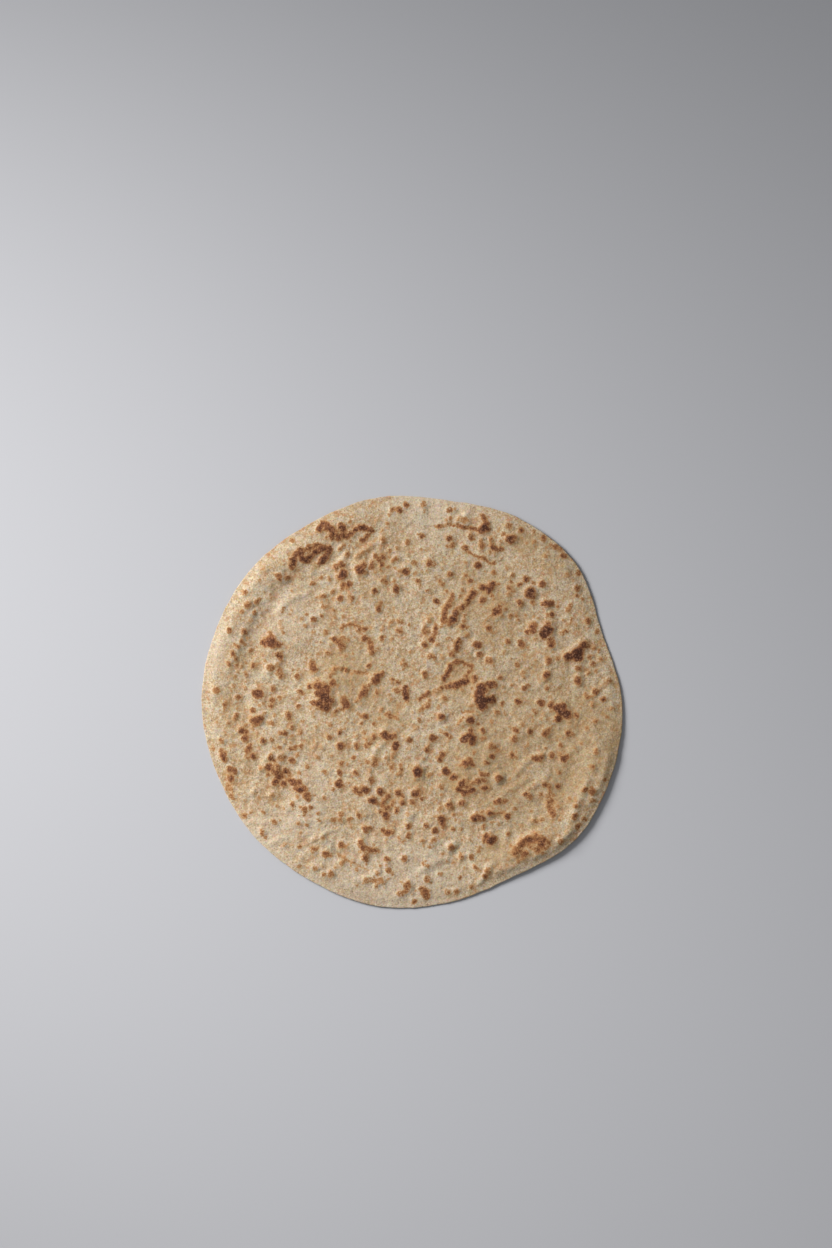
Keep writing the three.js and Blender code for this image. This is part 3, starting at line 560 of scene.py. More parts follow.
# Fine creases that the dough took when it was turned: the same three things.
CREASES = [
    (0.6, .6, [(30, 91.5), (35, 88), (42, 85), (47, 82), (49, 82.3)]),
    (0.5, .45, [(14, 104.5), (20, 105), (26, 105), (30, 103.8)]),
    (0.7, .9, [(27, 104.8), (30, 103.8), (34, 103.3), (38, 102), (41, 101.5)]),
    (1.2, .28, [(-42, 19.8), (-38, 18.5), (-33, 17.5), (-27, 17.3)]), (0.9, .35, [(30, -6), (36, -5.8)]),
    (0.9, .2, [(-44, -90), (-38, -94), (-32, -97), (-26, -100)]),
]

# Folds and bubbles that steam left in the face, without any browning of their own:
# (half width, height, points that the crest runs through). One point alone is a round bubble.
FOLDS = {
    "upper left": [
        (3.0, .45, [(-79.5, 52), (-77.5, 57), (-73, 60.5), (-68, 63), (-62, 65)]),
        (2.4, .25, [(-55, 63), (-50, 65.5), (-44, 68)]),
        (3.4, .32, [(-108, 21), (-104, 30), (-101.5, 38), (-97.5, 44)]),
        (2.4, .30, [(-90, 43), (-86, 42), (-82, 42.5)]),
        (2.4, .30, [(-96, 51), (-93, 53.5), (-88, 54.5)]),
        (3.2, .45, [(-86, 18), (-83.5, 22.5), (-79, 23)]),
        (3.0, .45, [(-60, 76), (-57, 81), (-53, 83.5)]), (2.2, .35, [(-55, 77), (-51, 79)]),
        (2.4, .45, [(-32, 87), (-28.5, 90), (-24, 93), (-21, 95)]),
        (2.4, .40, [(-46, 79), (-42, 83), (-39, 88)]), (2.0, .30, [(-18.5, 91), (-17.5, 100)]),
        (2.6, .30, [(-10, 77), (-5, 80), (-1, 84)]),
        (1.8, .35, [(-23, 44), (-22, 40.5), (-19, 39), (-17, 41)]),
        (2.6, .35, [(-52, 14), (-48.5, 18), (-45, 19)]), (5.5, .60, [(-77, 73)]), (4.5, .50, [(-41, 74)]),
        (4.5, .50, [(-31, 78)]), (9.0, .50, [(-83, 34)]), (7.0, .35, [(-51, 86)]),
    ],
    "upper right": [
        (1.6, .40, [(31, 96), (36, 92.5), (41, 88.5), (46, 85)]),
        (2.4, .40, [(27, 107), (31, 111), (34, 114)]), (5.0, .55, [(43, 105)]), (5.5, .50, [(58, 97)]),
        (4.0, .50, [(47, 68)]), (5.0, .60, [(80, 58)]), (7.0, .75, [(73, 43)]), (6.5, .65, [(81, 43)]),
        (4.5, .50, [(65, 57.5)]), (5.5, .55, [(70, 64)]), (4.5, .40, [(78, 69)]),
        (2.2, .40, [(6.5, 44), (9.5, 48.5), (13, 51)]), (3.6, .50, [(29, 40)]),
        (2.2, .35, [(32, 27), (35, 31)]), (3.8, .40, [(47, 26)]),
        (2.6, .40, [(75.5, 9.5), (79, 14), (81, 17)]), (2.6, .50, [(89, 80), (95, 79.5)]),
        (4.4, .55, [(91, 27), (97, 30.5), (101, 34)]), (2.8, .30, [(14, 34), (20, 31), (24, 33)]),
        (7.5, .60, [(43, 3)]), (3.0, .30, [(100, 12), (98, 19)]),
    ],
    "lower left": [
        (3.2, .55, [(-89, -40), (-87, -34.5), (-83, -31), (-75, -30.5)]), (8.0, .50, [(-80, -39)]),
        (7.0, .60, [(-92, -9)]), (9.5, .45, [(-53, 2)]),
        (2.6, .45, [(-62, -84), (-58, -81.5), (-53.5, -79), (-49.5, -76.5), (-44, -75.5), (-40, -78)]),
        (10.0, .40, [(-52, -85)]), (1.6, -.35, [(-46.5, -85), (-41.5, -91)]), (5.5, .60, [(-27, -88)]),
        (3.6, .50, [(-30, -83), (-29, -88), (-28, -93)]),
        (2.2, .50, [(-20.5, -62), (-19, -68), (-16, -72), (-12, -74)]),
        (2.8, .50, [(-6, -79), (-3, -71), (0, -67)]), (2.0, .35, [(-5, -55), (-9, -52.5), (-13, -54)]),
        (2.4, .45, [(-17.5, -25), (-21.5, -28.5), (-24, -36), (-26.5, -47)]),
        (2.2, .35, [(-16, -10), (-15, -14), (-19, -18.5)]), (3.6, .50, [(-26.5, -22)]),
        (3.8, .50, [(-3, -21.5)]), (3.8, .50, [(-16, -45.5)]),
        (2.6, .40, [(-34.5, -106), (-27, -104), (-20, -101)]), (4.0, .55, [(-84, -54.5)]),
        (3.0, .35, [(-94, -53.5)]), (2.4, .35, [(-97, -72), (-92.5, -71), (-87.5, -72)]),
        (4.0, .45, [(-90, -78)]), (2.6, .35, [(-85.5, -85), (-78, -80.5)]),
        (2.6, .35, [(-71, -97), (-66, -94)]), (2.6, .35, [(-61, -97.5), (-53, -97.5)]),
        (2.2, .35, [(-22, -81), (-16.5, -83), (-14.5, -86.5)]),
        (3.0, .35, [(-76, -62), (-70, -70), (-62, -71)]),
    ],
    "lower right": [
        (2.6, .45, [(53, -55.5), (56.5, -53), (60, -50.5), (63.5, -48), (68.5, -46)]),
        (2.6, .50, [(61, -45), (62, -42.5), (65, -38.5), (69.5, -34), (73.5, -32), (77, -31.5)]),
        (2.6, .45, [(69.5, -51.5), (73, -49), (78, -46), (80, -43.5)]),
        (2.6, .45, [(57.5, -76), (55.5, -80), (55.5, -85), (54, -91)]),
        (2.8, .55, [(61, -88), (63.5, -84), (68, -79.5), (74, -78), (78.5, -79.5), (83, -82), (85.5, -85)]),
        (3.0, .50, [(71, -93.5), (77, -91), (84, -89.5)]),
        (2.4, .40, [(50, -100), (55.5, -99), (61, -98)]),
        (2.8, .50, [(39.5, -108), (41.5, -104), (44.5, -99.5), (48, -96)]),
        (3.2, .50, [(28, -93), (33.5, -89.5)]), (3.6, .60, [(22, -87), (26, -83)]),
        (3.4, .45, [(4.5, -101), (10.5, -96), (17, -94), (20.5, -92)]),
        (3.6, .55, [(83, -89.5), (89, -83), (94.5, -76), (94, -70), (97, -62), (101.5, -53), (104, -46)]),
        (3.6, .55, [(111.5, -52), (114, -44), (116, -38), (118, -32)]), (5.0, .80, [(51.5, -45)]),
        (6.0, .60, [(4, -41)]), (1.8, .45, [(79, -11), (78, -8), (79.5, -5.5), (82, -5)]),
        (4.2, .60, [(18, -9)]), (4.0, .50, [(30, -12)]), (3.8, .50, [(22, -61)]),
        (4.6, .50, [(32.5, -37)]), (3.8, .50, [(44, -32.5)]), (3.6, .45, [(46, -26)]),
        (6.5, .55, [(34, -21.5)]), (4.0, .60, [(37, -69), (43, -67.5), (48, -66)]),
        (4.5, .40, [(47, -81)]), (2.4, .35, [(75, -62), (72, -68), (70, -73)]),
        (2.2, .30, [(60, -6), (64, -12), (66, -20)]), (3.4, .40, [(107, -13), (108, -20), (111, -26)]),
        (4.5, .35, [(68, -17)]), (3.0, .35, [(88, -20), (93, -24), (97, -30)]),
    ],
}

STEP_ALONG = 0.7  # millimetres between the dabs that make up a crest or a crease
BLOT_STEP = 1.1  # and between the blots that make up a long mark
BLOT_ASIDE = 0.2  # how far blots stray from the line, in shares of the mark's radius
BLOT_SIZES = (0.7, 1.25)  # smallest and largest, in the same shares
BLOT_CHARS = (0.75, 1.1)  # palest and darkest, in shares of the mark's char
BLOT_SEED = 11


def dabs_along(points, step):
    """Points a step or so apart on the straight runs between the given ones."""
    found = [points[0]]
    for start, end in zip(points, points[1:]):
        run = np.subtract(end, start)
        count = max(round(np.hypot(*run) / step), 1)
        found += [tuple(start + run * i / count) for i in range(1, count + 1)]
    return found


def loose_points(name, dabs):
    """Dabs (x, y, radius, char, rise) as loose points, for the baking tree to stand cones on."""
    mesh = bpy.data.meshes.new(name)
    mesh.from_pydata([(x * MM, y * MM, 0.0) for x, y, *_ in dabs], [], [])
    layer = mesh.attributes.new("mark", "FLOAT_VECTOR", "POINT")
    marks = [(radius * MM, char, rise) for *_, radius, char, rise in dabs]
    layer.data.foreach_set("vector", np.array(marks, np.float32).ravel())
    loose = bpy.data.objects.new(name, mesh)
    bpy.context.scene.collection.objects.link(loose)
    return loose


def gather_marks():
    """Every listed mark. A blister rises by 1, in shares of what such a blister rises, and
    a crease by -1. A long mark is a row of uneven blots."""
    chance = np.random.default_rng(BLOT_SEED)
    dabs = [(x, y, radius, char, 1.0) for group in MARKS.values() for x, y, radius, char in group]
    for radius, char, points in LONG_MARKS:
        for x, y in dabs_along(points, BLOT_STEP):
            aside_x, aside_y = chance.normal(0, BLOT_ASIDE * radius, 2)
            size = radius * chance.uniform(*BLOT_SIZES)
            blot_char = char * chance.uniform(*BLOT_CHARS)
            dabs.append((x + aside_x, y + aside_y, size, blot_char, 1.0))
    for radius, char, points in CREASES:
        dabs += [(x, y, radius, char, -1.0) for x, y in dabs_along(points, STEP_ALONG)]
    return loose_points("hand_marks", dabs)


def gather_folds():
    """Every fold and bubble, which carries its height in metres as its rise."""
    dabs = []
    for half_width, height, points in [fold for group in FOLDS.values() for fold in group]:
        crest = dabs_along(points, STEP_ALONG)
        dabs += [(x, y, half_width, 0.0, height * MM) for x, y in crest]
    return loose_points("folds", dabs)


# ---- How the dough is baked -------------------------------------------------------------
# A tree of geometry nodes bakes the skin. Each mark is a cone that stands on its spot, and a
# ray sent down on the cones tells every point of the skin which mark it lies in and how deep.

MARK_REACH = 2.3  # a mark's cone stands on a foot of this many of its radii
FOLD_REACH = 1.0
PALEST_CONE = 0.3  # how high the cone of the palest mark stands, where a black one's is 1
CONE_SIDES = 20
CONE_STRETCHES = (0.86, 1.16)
FULL_TURN = 6.2832  # radians
RAY_START = 2.0  # metres up, above every cone

CHANCE_MARKS_STOP = 0.94  # share of the way out, past which no chance mark stands
SMALL_MOSTLY = 2.5  # the higher this is, the fewer chance marks are large
FRECKLE_RADII = (0.5 * MM, 1.4 * MM)
FRECKLE_CHARS = (0.12, 0.42)
SPOT_RADII = (0.7 * MM, 3.6 * MM)
SPOT_CHARS = (0.2, 0.7)

FRINGE = (1.1 * MM, -1.5 * MM)  # past a mark's edge, where its heat begins and where it is full
BLUSH_BLURS = 12
BLISTER_SIDE = (2.25, 0.7)  # in radii, from a blister's foot to its flat top
HIGHEST_BLISTER = 0.8 * MM
FOLD_SIDE = (FOLD_REACH, 0.1)  # in half widths, from a fold's foot to its crest
WAVES = [("Swell", 24 * MM, 1), ("Lumps", 8 * MM, 2), ("Pimples", 2.8 * MM, 2)]  # name, size and detail
RIM_STARTS = 0.95  # share of the way out
RIM_RELIEF = 0.35  # how much of the relief is left at the edge
UNDERSIDE_CONTACT = 0.35 * MM  # the underside lies flat where the relief is at least this high

# The noise that leads a mark's outline astray, and the edge's waver: (size, detail, and
# roughness where it isn't the usual 0.5).
ASTRAY_GRAIN = (2.8 * MM, 3, 0.65)
WAVER_GRAIN = (9 * MM, 3)
WAVER_STARTS = 0.93  # share of the way out

BAKING = {
    "Freckles": 30000.0, "Underside Spots": 9000.0, "Blister Rise": 0.3, "Swell": 1.3 * MM,
    "Lumps": 1.0 * MM, "Pimples": 0.5 * MM, "Fold Rise": 1.25, "Rim Taper": 0.6 * MM,
    "Edge Waver": 1.2 * MM, "Wander": 2.7 * MM, "Seed": 7,
}
UNDERSIDE_SEED = 20.0  # added to the seed of the face


def socket(sockets, name):
    """The socket in use that has this name, or this place in the list."""
    if isinstance(name, int):
        return sockets[name]
    return next(s for s in sockets if s.name == name and s.enabled)


def add(tree, kind, wanted="", inputs=None, **settings):
    """Adds one node with its settings, and with values or links going in. Gives back the output
    that is wanted, the first one if none is named, or the node itself where that is None."""
    node = tree.nodes.new(kind)
    for name, value in settings.items():
        setattr(node, name, value)
    for name, value in (inputs or {}).items():
        if isinstance(value, bpy.types.NodeSocket):
            tree.links.new(value, socket(node.inputs, name))
        else:
            socket(node.inputs, name).default_value = value
    if wanted is None:
        return node
    return socket(node.outputs, wanted) if wanted else node.outputs[0]


def maths(tree, operation, *values):
    """A Math node's result."""
    return add(tree, "ShaderNodeMath", inputs=dict(enumerate(values)), operation=operation)


def vector_maths(tree, operation, *values):
    """A Vector Math node's result."""
    inputs = dict(enumerate(values))
    return add(tree, "ShaderNodeVectorMath", inputs=inputs, operation=operation)


def scaled(tree, vector, scale):
    """A vector or a colour, times a number."""
    return add(tree, "ShaderNodeVectorMath", inputs={0: vector, "Scale": scale}, operation="SCALE")


def parts(tree, vector):
    """A vector's X, Y and Z."""
    return add(tree, "ShaderNodeSeparateXYZ", None, {0: vector}).outputs


def joined(tree, **given_parts):
    """A vector made of X, Y and Z. A part that isn't given is 0."""
    return add(tree, "ShaderNodeCombineXYZ", inputs=given_parts)


def weighed(tree, first, *others):
    """The sum of values that are given as (value, weight)."""
    total = maths(tree, "MULTIPLY", *first)
    for value, weight in others:
        total = maths(tree, "MULTIPLY_ADD", value, weight, total)
    return total


def fade(tree, value, start, end, low=0.0, high=1.0):
    """Goes smoothly from low, where the value is start, to high, where it is end."""
    inputs = {"Value": value, "From Min": start, "From Max": end, "To Min": low, "To Max": high}
    return add(tree, "ShaderNodeMapRange", "Result", inputs, interpolation_type="SMOOTHSTEP")


def grain(tree, place, size, detail=2.0, roughness=0.5, wanted="Fac"):
    """Noise whose lumps are about this size in metres, between 0 and 1."""
    inputs = {"Vector": place, "Scale": 1 / size, "Detail": detail, "Roughness": roughness}
    return add(tree, "ShaderNodeTexNoise", wanted, inputs)


def chance_value(tree, low, high, seed):
    """A chance number for each point."""
    inputs = {"Min": low, "Max": high, "Seed": seed}
    return add(tree, "FunctionNodeRandomValue", "Value", inputs, data_type="FLOAT")


def choose(tree, test, if_not, if_so):
    """One of two numbers."""
    inputs = {"Switch": test, "False": if_not, "True": if_so}
    return add(tree, "GeometryNodeSwitch", "Output", inputs, input_type="FLOAT")


def blurred(tree, value, times):
    """A number that is spread over the skin, evened out with its neighbours."""
    inputs = {"Value": value, "Iterations": times}
    return add(tree, "GeometryNodeBlurAttribute", "Value", inputs, data_type="FLOAT")


def stored(tree, name, kind="FLOAT"):
    """The attribute of this name."""
    return add(tree, "GeometryNodeInputNamedAttribute", "Attribute", {"Name": name}, data_type=kind)


def written_down(tree, geometry, name, value, kind="FLOAT"):
    """The geometry, with the value as its attribute of this name."""
    inputs = {"Geometry": geometry, "Name": name, "Value": value}
    return add(tree, "GeometryNodeStoreNamedAttribute", inputs=inputs, data_type=kind)


def add_sockets(tree, in_out, wanted):
    """Named inputs or outputs of a tree."""
    for kind, names in wanted.items():
        for name in names:
            tree.interface.new_socket(name, in_out=in_out, socket_type=f"NodeSocket{kind}")


def cone_height(tree, char):
    """The darker a mark, the higher its cone, so the darker of two marks that overlap wins."""
    return maths(tree, "MULTIPLY_ADD", char, 1 - PALEST_CONE, PALEST_CONE)


def stand_cones(tree, points, reach, seed):
    """A cone on every point, stretched a little in some direction."""
    radius, char, _ = parts(tree, stored(tree, "mark", "FLOAT_VECTOR"))
    foot = maths(tree, "MULTIPLY", radius, reach)
    stretch = chance_value(tree, *CONE_STRETCHES, seed)
    longer = maths(tree, "MULTIPLY", foot, stretch)
    shorter = maths(tree, "DIVIDE", foot, stretch)
    scale = joined(tree, X=longer, Y=shorter, Z=cone_height(tree, char))
    turn = joined(tree, Z=chance_value(tree, 0.0, FULL_TURN, seed))
    cone_inputs = {"Vertices": CONE_SIDES, "Radius Top": 0.0, "Radius Bottom": 1.0, "Depth": 1.0}
    cone = add(tree, "GeometryNodeMeshCone", "Mesh", cone_inputs, fill_type="NONE")
    inputs = {"Points": points, "Instance": cone, "Rotation": turn, "Scale": scale}
    standing = add(tree, "GeometryNodeInstanceOnPoints", inputs=inputs)
    return add(tree, "GeometryNodeRealizeInstances", inputs={"Geometry": standing})


def make_mark_reader():
    """For a point on the skin, what the cones above it say: how far it is from the middle of
    its mark, in radii, and the mark's radius, char and rise."""
    tree = bpy.data.node_groups.new("read_marks", "GeometryNodeTree")
    add_sockets(tree, "INPUT", {"Geometry": ["Cones"], "Vector": ["Place"], "Float": ["Reach"]})
    add_sockets(tree, "OUTPUT", {"Float": ["Distance", "Radius", "Char", "Rise"]})
    given = add(tree, "NodeGroupInput", None).outputs
    x, y, _ = parts(tree, given["Place"])
    inputs = {
        "Target Geometry": given["Cones"], "Attribute": stored(tree, "mark", "FLOAT_VECTOR"),
        "Source Position": joined(tree, X=x, Y=y, Z=RAY_START),
        "Ray Direction": (0.0, 0.0, -1.0), "Ray Length": 2 * RAY_START,
    }
    ray = add(tree, "GeometryNodeRaycast", None, inputs, data_type="FLOAT_VECTOR")
    radius, char, rise = parts(tree, socket(ray.outputs, "Attribute"))
    _, _, height = parts(tree, socket(ray.outputs, "Hit Position"))
    depth = maths(tree, "DIVIDE", height, cone_height(tree, char))
    distance = maths(tree, "MULTIPLY", maths(tree, "SUBTRACT", 1.0, depth), given["Reach"])
    results = add(tree, "NodeGroupOutput", None)
    told = {"Distance": distance, "Radius": radius, "Char": char, "Rise": rise}
    for name, value in told.items():
        missed = given["Reach"] if name == "Distance" else 0.0
        answer = choose(tree, socket(ray.outputs, "Is Hit"), missed, value)
        tree.links.new(answer, results.inputs[name])
    return tree


def scatter_marks(tree, skin, where, density, radii, chars, seed):
    """Chance marks on part of the skin: most are small, and few are large."""
    inputs = {"Mesh": skin, "Selection": where, "Density": density, "Seed": seed}
    scattered = add(tree, "GeometryNodeDistributePointsOnFaces", "Points", inputs)
    x, y, _ = parts(tree, add(tree, "GeometryNodeInputPosition"))
    inputs = {"Geometry": scattered, "Position": joined(tree, X=x, Y=y)}
    scattered = add(tree, "GeometryNodeSetPosition", inputs=inputs)
    size = chance_value(tree, 0.0, 1.0, maths(tree, "ADD", seed, 1.0))
    size = maths(tree, "POWER", size, SMALL_MOSTLY)
    radius = maths(tree, "MULTIPLY_ADD", size, radii[1] - radii[0], radii[0])
    char = chance_value(tree, 0.0, 1.0, maths(tree, "ADD", seed, 2.0))
    char = maths(tree, "MULTIPLY_ADD", char, chars[1] - chars[0], chars[0])
    mark = joined(tree, X=radius, Y=char, Z=1.0)
    return written_down(tree, scattered, "mark", mark, "FLOAT_VECTOR")


def make_baking_tree():
    """The tree that raises the skin's relief and writes down how hot each point of it got."""
    tree = bpy.data.node_groups.new("bake_dough", "GeometryNodeTree")
    add_sockets(tree, "INPUT", {
        "Geometry": ["Geometry"], "Object": ["Hand Marks", "Folds"], "Material": ["Dough"],
        "Float": [name for name in BAKING if name != "Seed"], "Int": ["Seed"],
    })
    add_sockets(tree, "OUTPUT", {"Geometry": ["Geometry"]})
    given = add(tree, "NodeGroupInput", None).outputs
    skin = given["Geometry"]
    share_out = stored(tree, "share_out")
    face_side = stored(tree, "face_side")
    place = add(tree, "GeometryNodeInputPosition")
    on_face = maths(tree, "GREATER_THAN", face_side, 0.5)

    # A point looks up its mark a little off its own place, so no mark has a clean outline.
    noise = grain(tree, place, *ASTRAY_GRAIN, "Color")
    astray = vector_maths(tree, "SUBTRACT", noise, (0.5, 0.5, 0.5))
    looked_up = vector_maths(tree, "ADD", place, scaled(tree, astray, given["Wander"]))
    reader = make_mark_reader()

    def read(points, reach, seed):
        """What a stand of cones on these points tells the skin."""
        reading = add(tree, "GeometryNodeGroup", None, node_tree=reader)
        reading.inputs["Reach"].default_value = reach
        tree.links.new(stand_cones(tree, points, reach, seed), reading.inputs["Cones"])
        tree.links.new(looked_up, reading.inputs["Place"])
        return reading.outputs

    def heat(told):
        """How hot a mark made the skin here: its char inside, dying away across its edge."""
        outside = maths(tree, "SUBTRACT", told["Distance"], 1.0)
        outside = maths(tree, "MULTIPLY", outside, told["Radius"])
        return maths(tree, "MULTIPLY", fade(tree, outside, *FRINGE), told["Char"])

    def blister(told):
        """How high a mark's blister stands here."""
        dome = maths(tree, "MULTIPLY", fade(tree, told["Distance"], *BLISTER_SIDE), told["Rise"])
        return maths(tree, "MULTIPLY", maths(tree, "MULTIPLY", dome, told["Radius"]), given["Blister Rise"])

    inside_rim = maths(tree, "LESS_THAN", share_out, CHANCE_MARKS_STOP)
    face_area = maths(tree, "MULTIPLY", on_face, inside_rim)
    underside_area = maths(tree, "MULTIPLY", maths(tree, "SUBTRACT", 1.0, on_face), inside_rim)
    seed = given["Seed"]
    underside_seed = maths(tree, "ADD", seed, UNDERSIDE_SEED)
    freckles = scatter_marks(
        tree, skin, face_area, given["Freckles"], FRECKLE_RADII, FRECKLE_CHARS, seed)
    spots = scatter_marks(
        tree, skin, underside_area, given["Underside Spots"], SPOT_RADII, SPOT_CHARS, underside_seed)
    by_hand = add(tree, "GeometryNodeObjectInfo", "Geometry", {"Object": given["Hand Marks"]})
    folded = add(tree, "GeometryNodeObjectInfo", "Geometry", {"Object": given["Folds"]})
    chance_told = read(freckles, MARK_REACH, seed)
    hand_told = read(by_hand, MARK_REACH, seed)
    fold_told = read(folded, FOLD_REACH, seed)
    underside_told = read(spots, MARK_REACH, underside_seed)

    # The relief of the face: blisters, folds, and the swell, lumps and pimples of the dough.
    raised = maths(tree, "ADD", blister(hand_told), blister(chance_told))
    raised = maths(tree, "MINIMUM", raised, HIGHEST_BLISTER)
    fold = maths(tree, "MULTIPLY", fade(tree, fold_told["Distance"], *FOLD_SIDE), fold_told["Rise"])
    relief = maths(tree, "MULTIPLY_ADD", blurred(tree, fold, 1), given["Fold Rise"], raised)
    for name, size, detail in WAVES:
        wave = maths(tree, "SUBTRACT", grain(tree, place, size, detail), 0.5)
        relief = maths(tree, "MULTIPLY_ADD", wave, given[name], relief)
    relief = maths(tree, "MULTIPLY", relief, fade(tree, share_out, 1.0, RIM_STARTS, RIM_RELIEF, 1.0))
    taper = maths(tree, "MULTIPLY", fade(tree, share_out, RIM_STARTS, 1.0), given["Rim Taper"])
    face_up = maths(tree, "MULTIPLY", maths(tree, "SUBTRACT", relief, taper), face_side)

    # The underside lay on the plate: its spots stand nowhere proud, and its hollows are shallow.
    hollow = maths(tree, "MAXIMUM", maths(tree, "SUBTRACT", UNDERSIDE_CONTACT, relief), 0.0)
    underside_up = maths(tree, "MULTIPLY", hollow, maths(tree, "SUBTRACT", 1.0, face_side))
    upward = joined(tree, Z=maths(tree, "ADD", face_up, underside_up))
    waver = maths(tree, "SUBTRACT", grain(tree, place, *WAVER_GRAIN), 0.5)
    near_edge = fade(tree, share_out, WAVER_STARTS, 1.0)
    waver = maths(tree, "MULTIPLY", waver, maths(tree, "MULTIPLY", given["Edge Waver"], near_edge))
    flat = vector_maths(tree, "MULTIPLY", place, (1.0, 1.0, 0.0))
    outward = scaled(tree, vector_maths(tree, "NORMALIZE", flat), waver)
    offset = vector_maths(tree, "ADD", outward, upward)

    # The heat that the dough's material reads, written down before the skin moves.
    cooler = maths(tree, "SUBTRACT", 1.0, heat(hand_told))
    face_heat = maths(tree, "MULTIPLY_ADD", heat(chance_told), cooler, heat(hand_told))
    toasted = choose(tree, on_face, heat(underside_told), face_heat)
    geometry = written_down(tree, skin, "mark_heat", toasted)
    geometry = written_down(tree, geometry, "mark_blush", blurred(tree, toasted, BLUSH_BLURS))
    geometry = add(tree, "GeometryNodeSetPosition", inputs={"Geometry": geometry, "Offset": offset})
    geometry = add(tree, "GeometryNodeRealizeInstances", inputs={"Geometry": geometry})
    inputs = {"Geometry": geometry, "Material": given["Dough"]}
    geometry = add(tree, "GeometryNodeSetMaterial", inputs=inputs)
    tree.links.new(geometry, add(tree, "NodeGroupOutput", None).inputs["Geometry"])
    return tree


# ---- The crust --------------------------------------------------------------------------
# Wholewheat crust is matt and gritty: pale flour, tan crumb, grey and brown bran. The marks go
# from an orange tan fringe through brown to nearly black, and are speckled like the crumb.

PALE_FLOUR = seen_as(222, 206, 179)
TAN_CRUMB = seen_as(186, 151, 105)
GREY_BRAN = seen_as(152, 136, 116)
WARM_TAN = seen_as(188, 136, 92)
COOL_CRUMB = seen_as(196, 180, 160)
BRAN_FLECK = seen_as(124, 86, 58)
SCORCHED_CRUMB = seen_as(146, 108, 80)
TOASTED_CRUMB = seen_as(178, 130, 96)
# Browned dough also serves as painted shade at the right rim, and floury dough as a painted highlight at
# the left rim.
BROWNED_OR_SHADED_DOUGH = seen_as(178, 146, 102)
FLOURY_OR_HIGHLIT_DOUGH = seen_as(219, 203, 180)
TOASTING = [
    (0.0, seen_as(198, 162, 116)), (0.17, seen_as(185, 138, 91)), (0.36, seen_as(157, 105, 64)),
    (0.56, seen_as(129, 80, 50)), (0.78, seen_as(104, 62, 41)), (1.0, seen_as(77, 44, 30)),
]

# Grains of the crust: (size, detail, and roughness where it isn't the usual 0.5). Those read from
# another place, this far off in metres, don't follow the ones read here.
ELSEWHERE = (0.4, 0.3, 0.2)
FURTHER = (0.9, 0.7, 0.5)
PATCHES = (38 * MM, 2)
MOTTLE = (6.5 * MM, 3, 0.55)
CRUMB = (2.0 * MM, 3, 0.6)
GRIT = (0.9 * MM, 3, 0.65)
GREY_GRAIN = (2.6 * MM, 3, 0.65)
WARMTH_GRAIN = (4.2 * MM, 4, 0.7)
TINT_GRAIN = (1.1 * MM, 2, 0.6)
SCORCH_GRAIN = (13 * MM, 2)
SOOT_GRAIN = (1.3 * MM, 3, 0.65)
SPECKLE_GRAIN = (1.0 * MM, 3, 0.7)
CLOT_GRAIN = (2.4 * MM, 2, 0.6)
UNBURNT_GRAIN = (1.2 * MM, 2, 0.5)
BRAN_CELL = 1.6 * MM
BRAN_PICKED = 0.68  # of the cells, the share that holds no fleck

# Where each finish comes in: from nothing at the first number to full at the second. Two more
# numbers are the strengths that it has there.
FLOURED = (1.05, 1.75)
GREYED = (0.52, 0.72, 0.0, 0.6)
WARMED = (0.5, 0.7, 0.0, 0.9)
COOLED = (0.48, 0.3, 0.0, 0.75)
BLUSHED = (0.02, 0.35, 0.0, 0.35)
BROWNED_OR_SHADED = (0.5, 1.0, 0.0, 0.5)
FLOURY_OR_HIGHLIT = (0.5, 0.0, 0.0, 0.5)
FLECKED = (0.36, 0.12)
FLECK_STRENGTH = 0.5
SCORCHED = (0.5, 0.68)
SOOTED = (0.46, 0.62, 0.0, 0.4)
TOASTED = (0.03, 0.16)
UNBURNT = (0.55, 0.65, 0.0, 0.6)
UNBURNT_IN_MARKS = (0.3, 0.6)
SHADED = (0.3, 0.7, 0.82, 1.1)
ROUGHENED = (0.3, 0.7, 0.95, 0.8)
TINT_SPREAD = (0.5, 0.5, 0.75)
TINT_LEAST = (0.75, 0.75, 0.62)
BITE_PER_HEAT = 1.2  # how far the speckle bites into a mark
DEEPEST_BITE = 0.45
BUMP_DEPTH = 0.5 * MM


def blend_colours(tree, share, first, second):
    """One colour going over into another."""
    inputs = {"Factor": share, "A": first, "B": second}
    return add(tree, "ShaderNodeMix", "Result", inputs, data_type="RGBA")


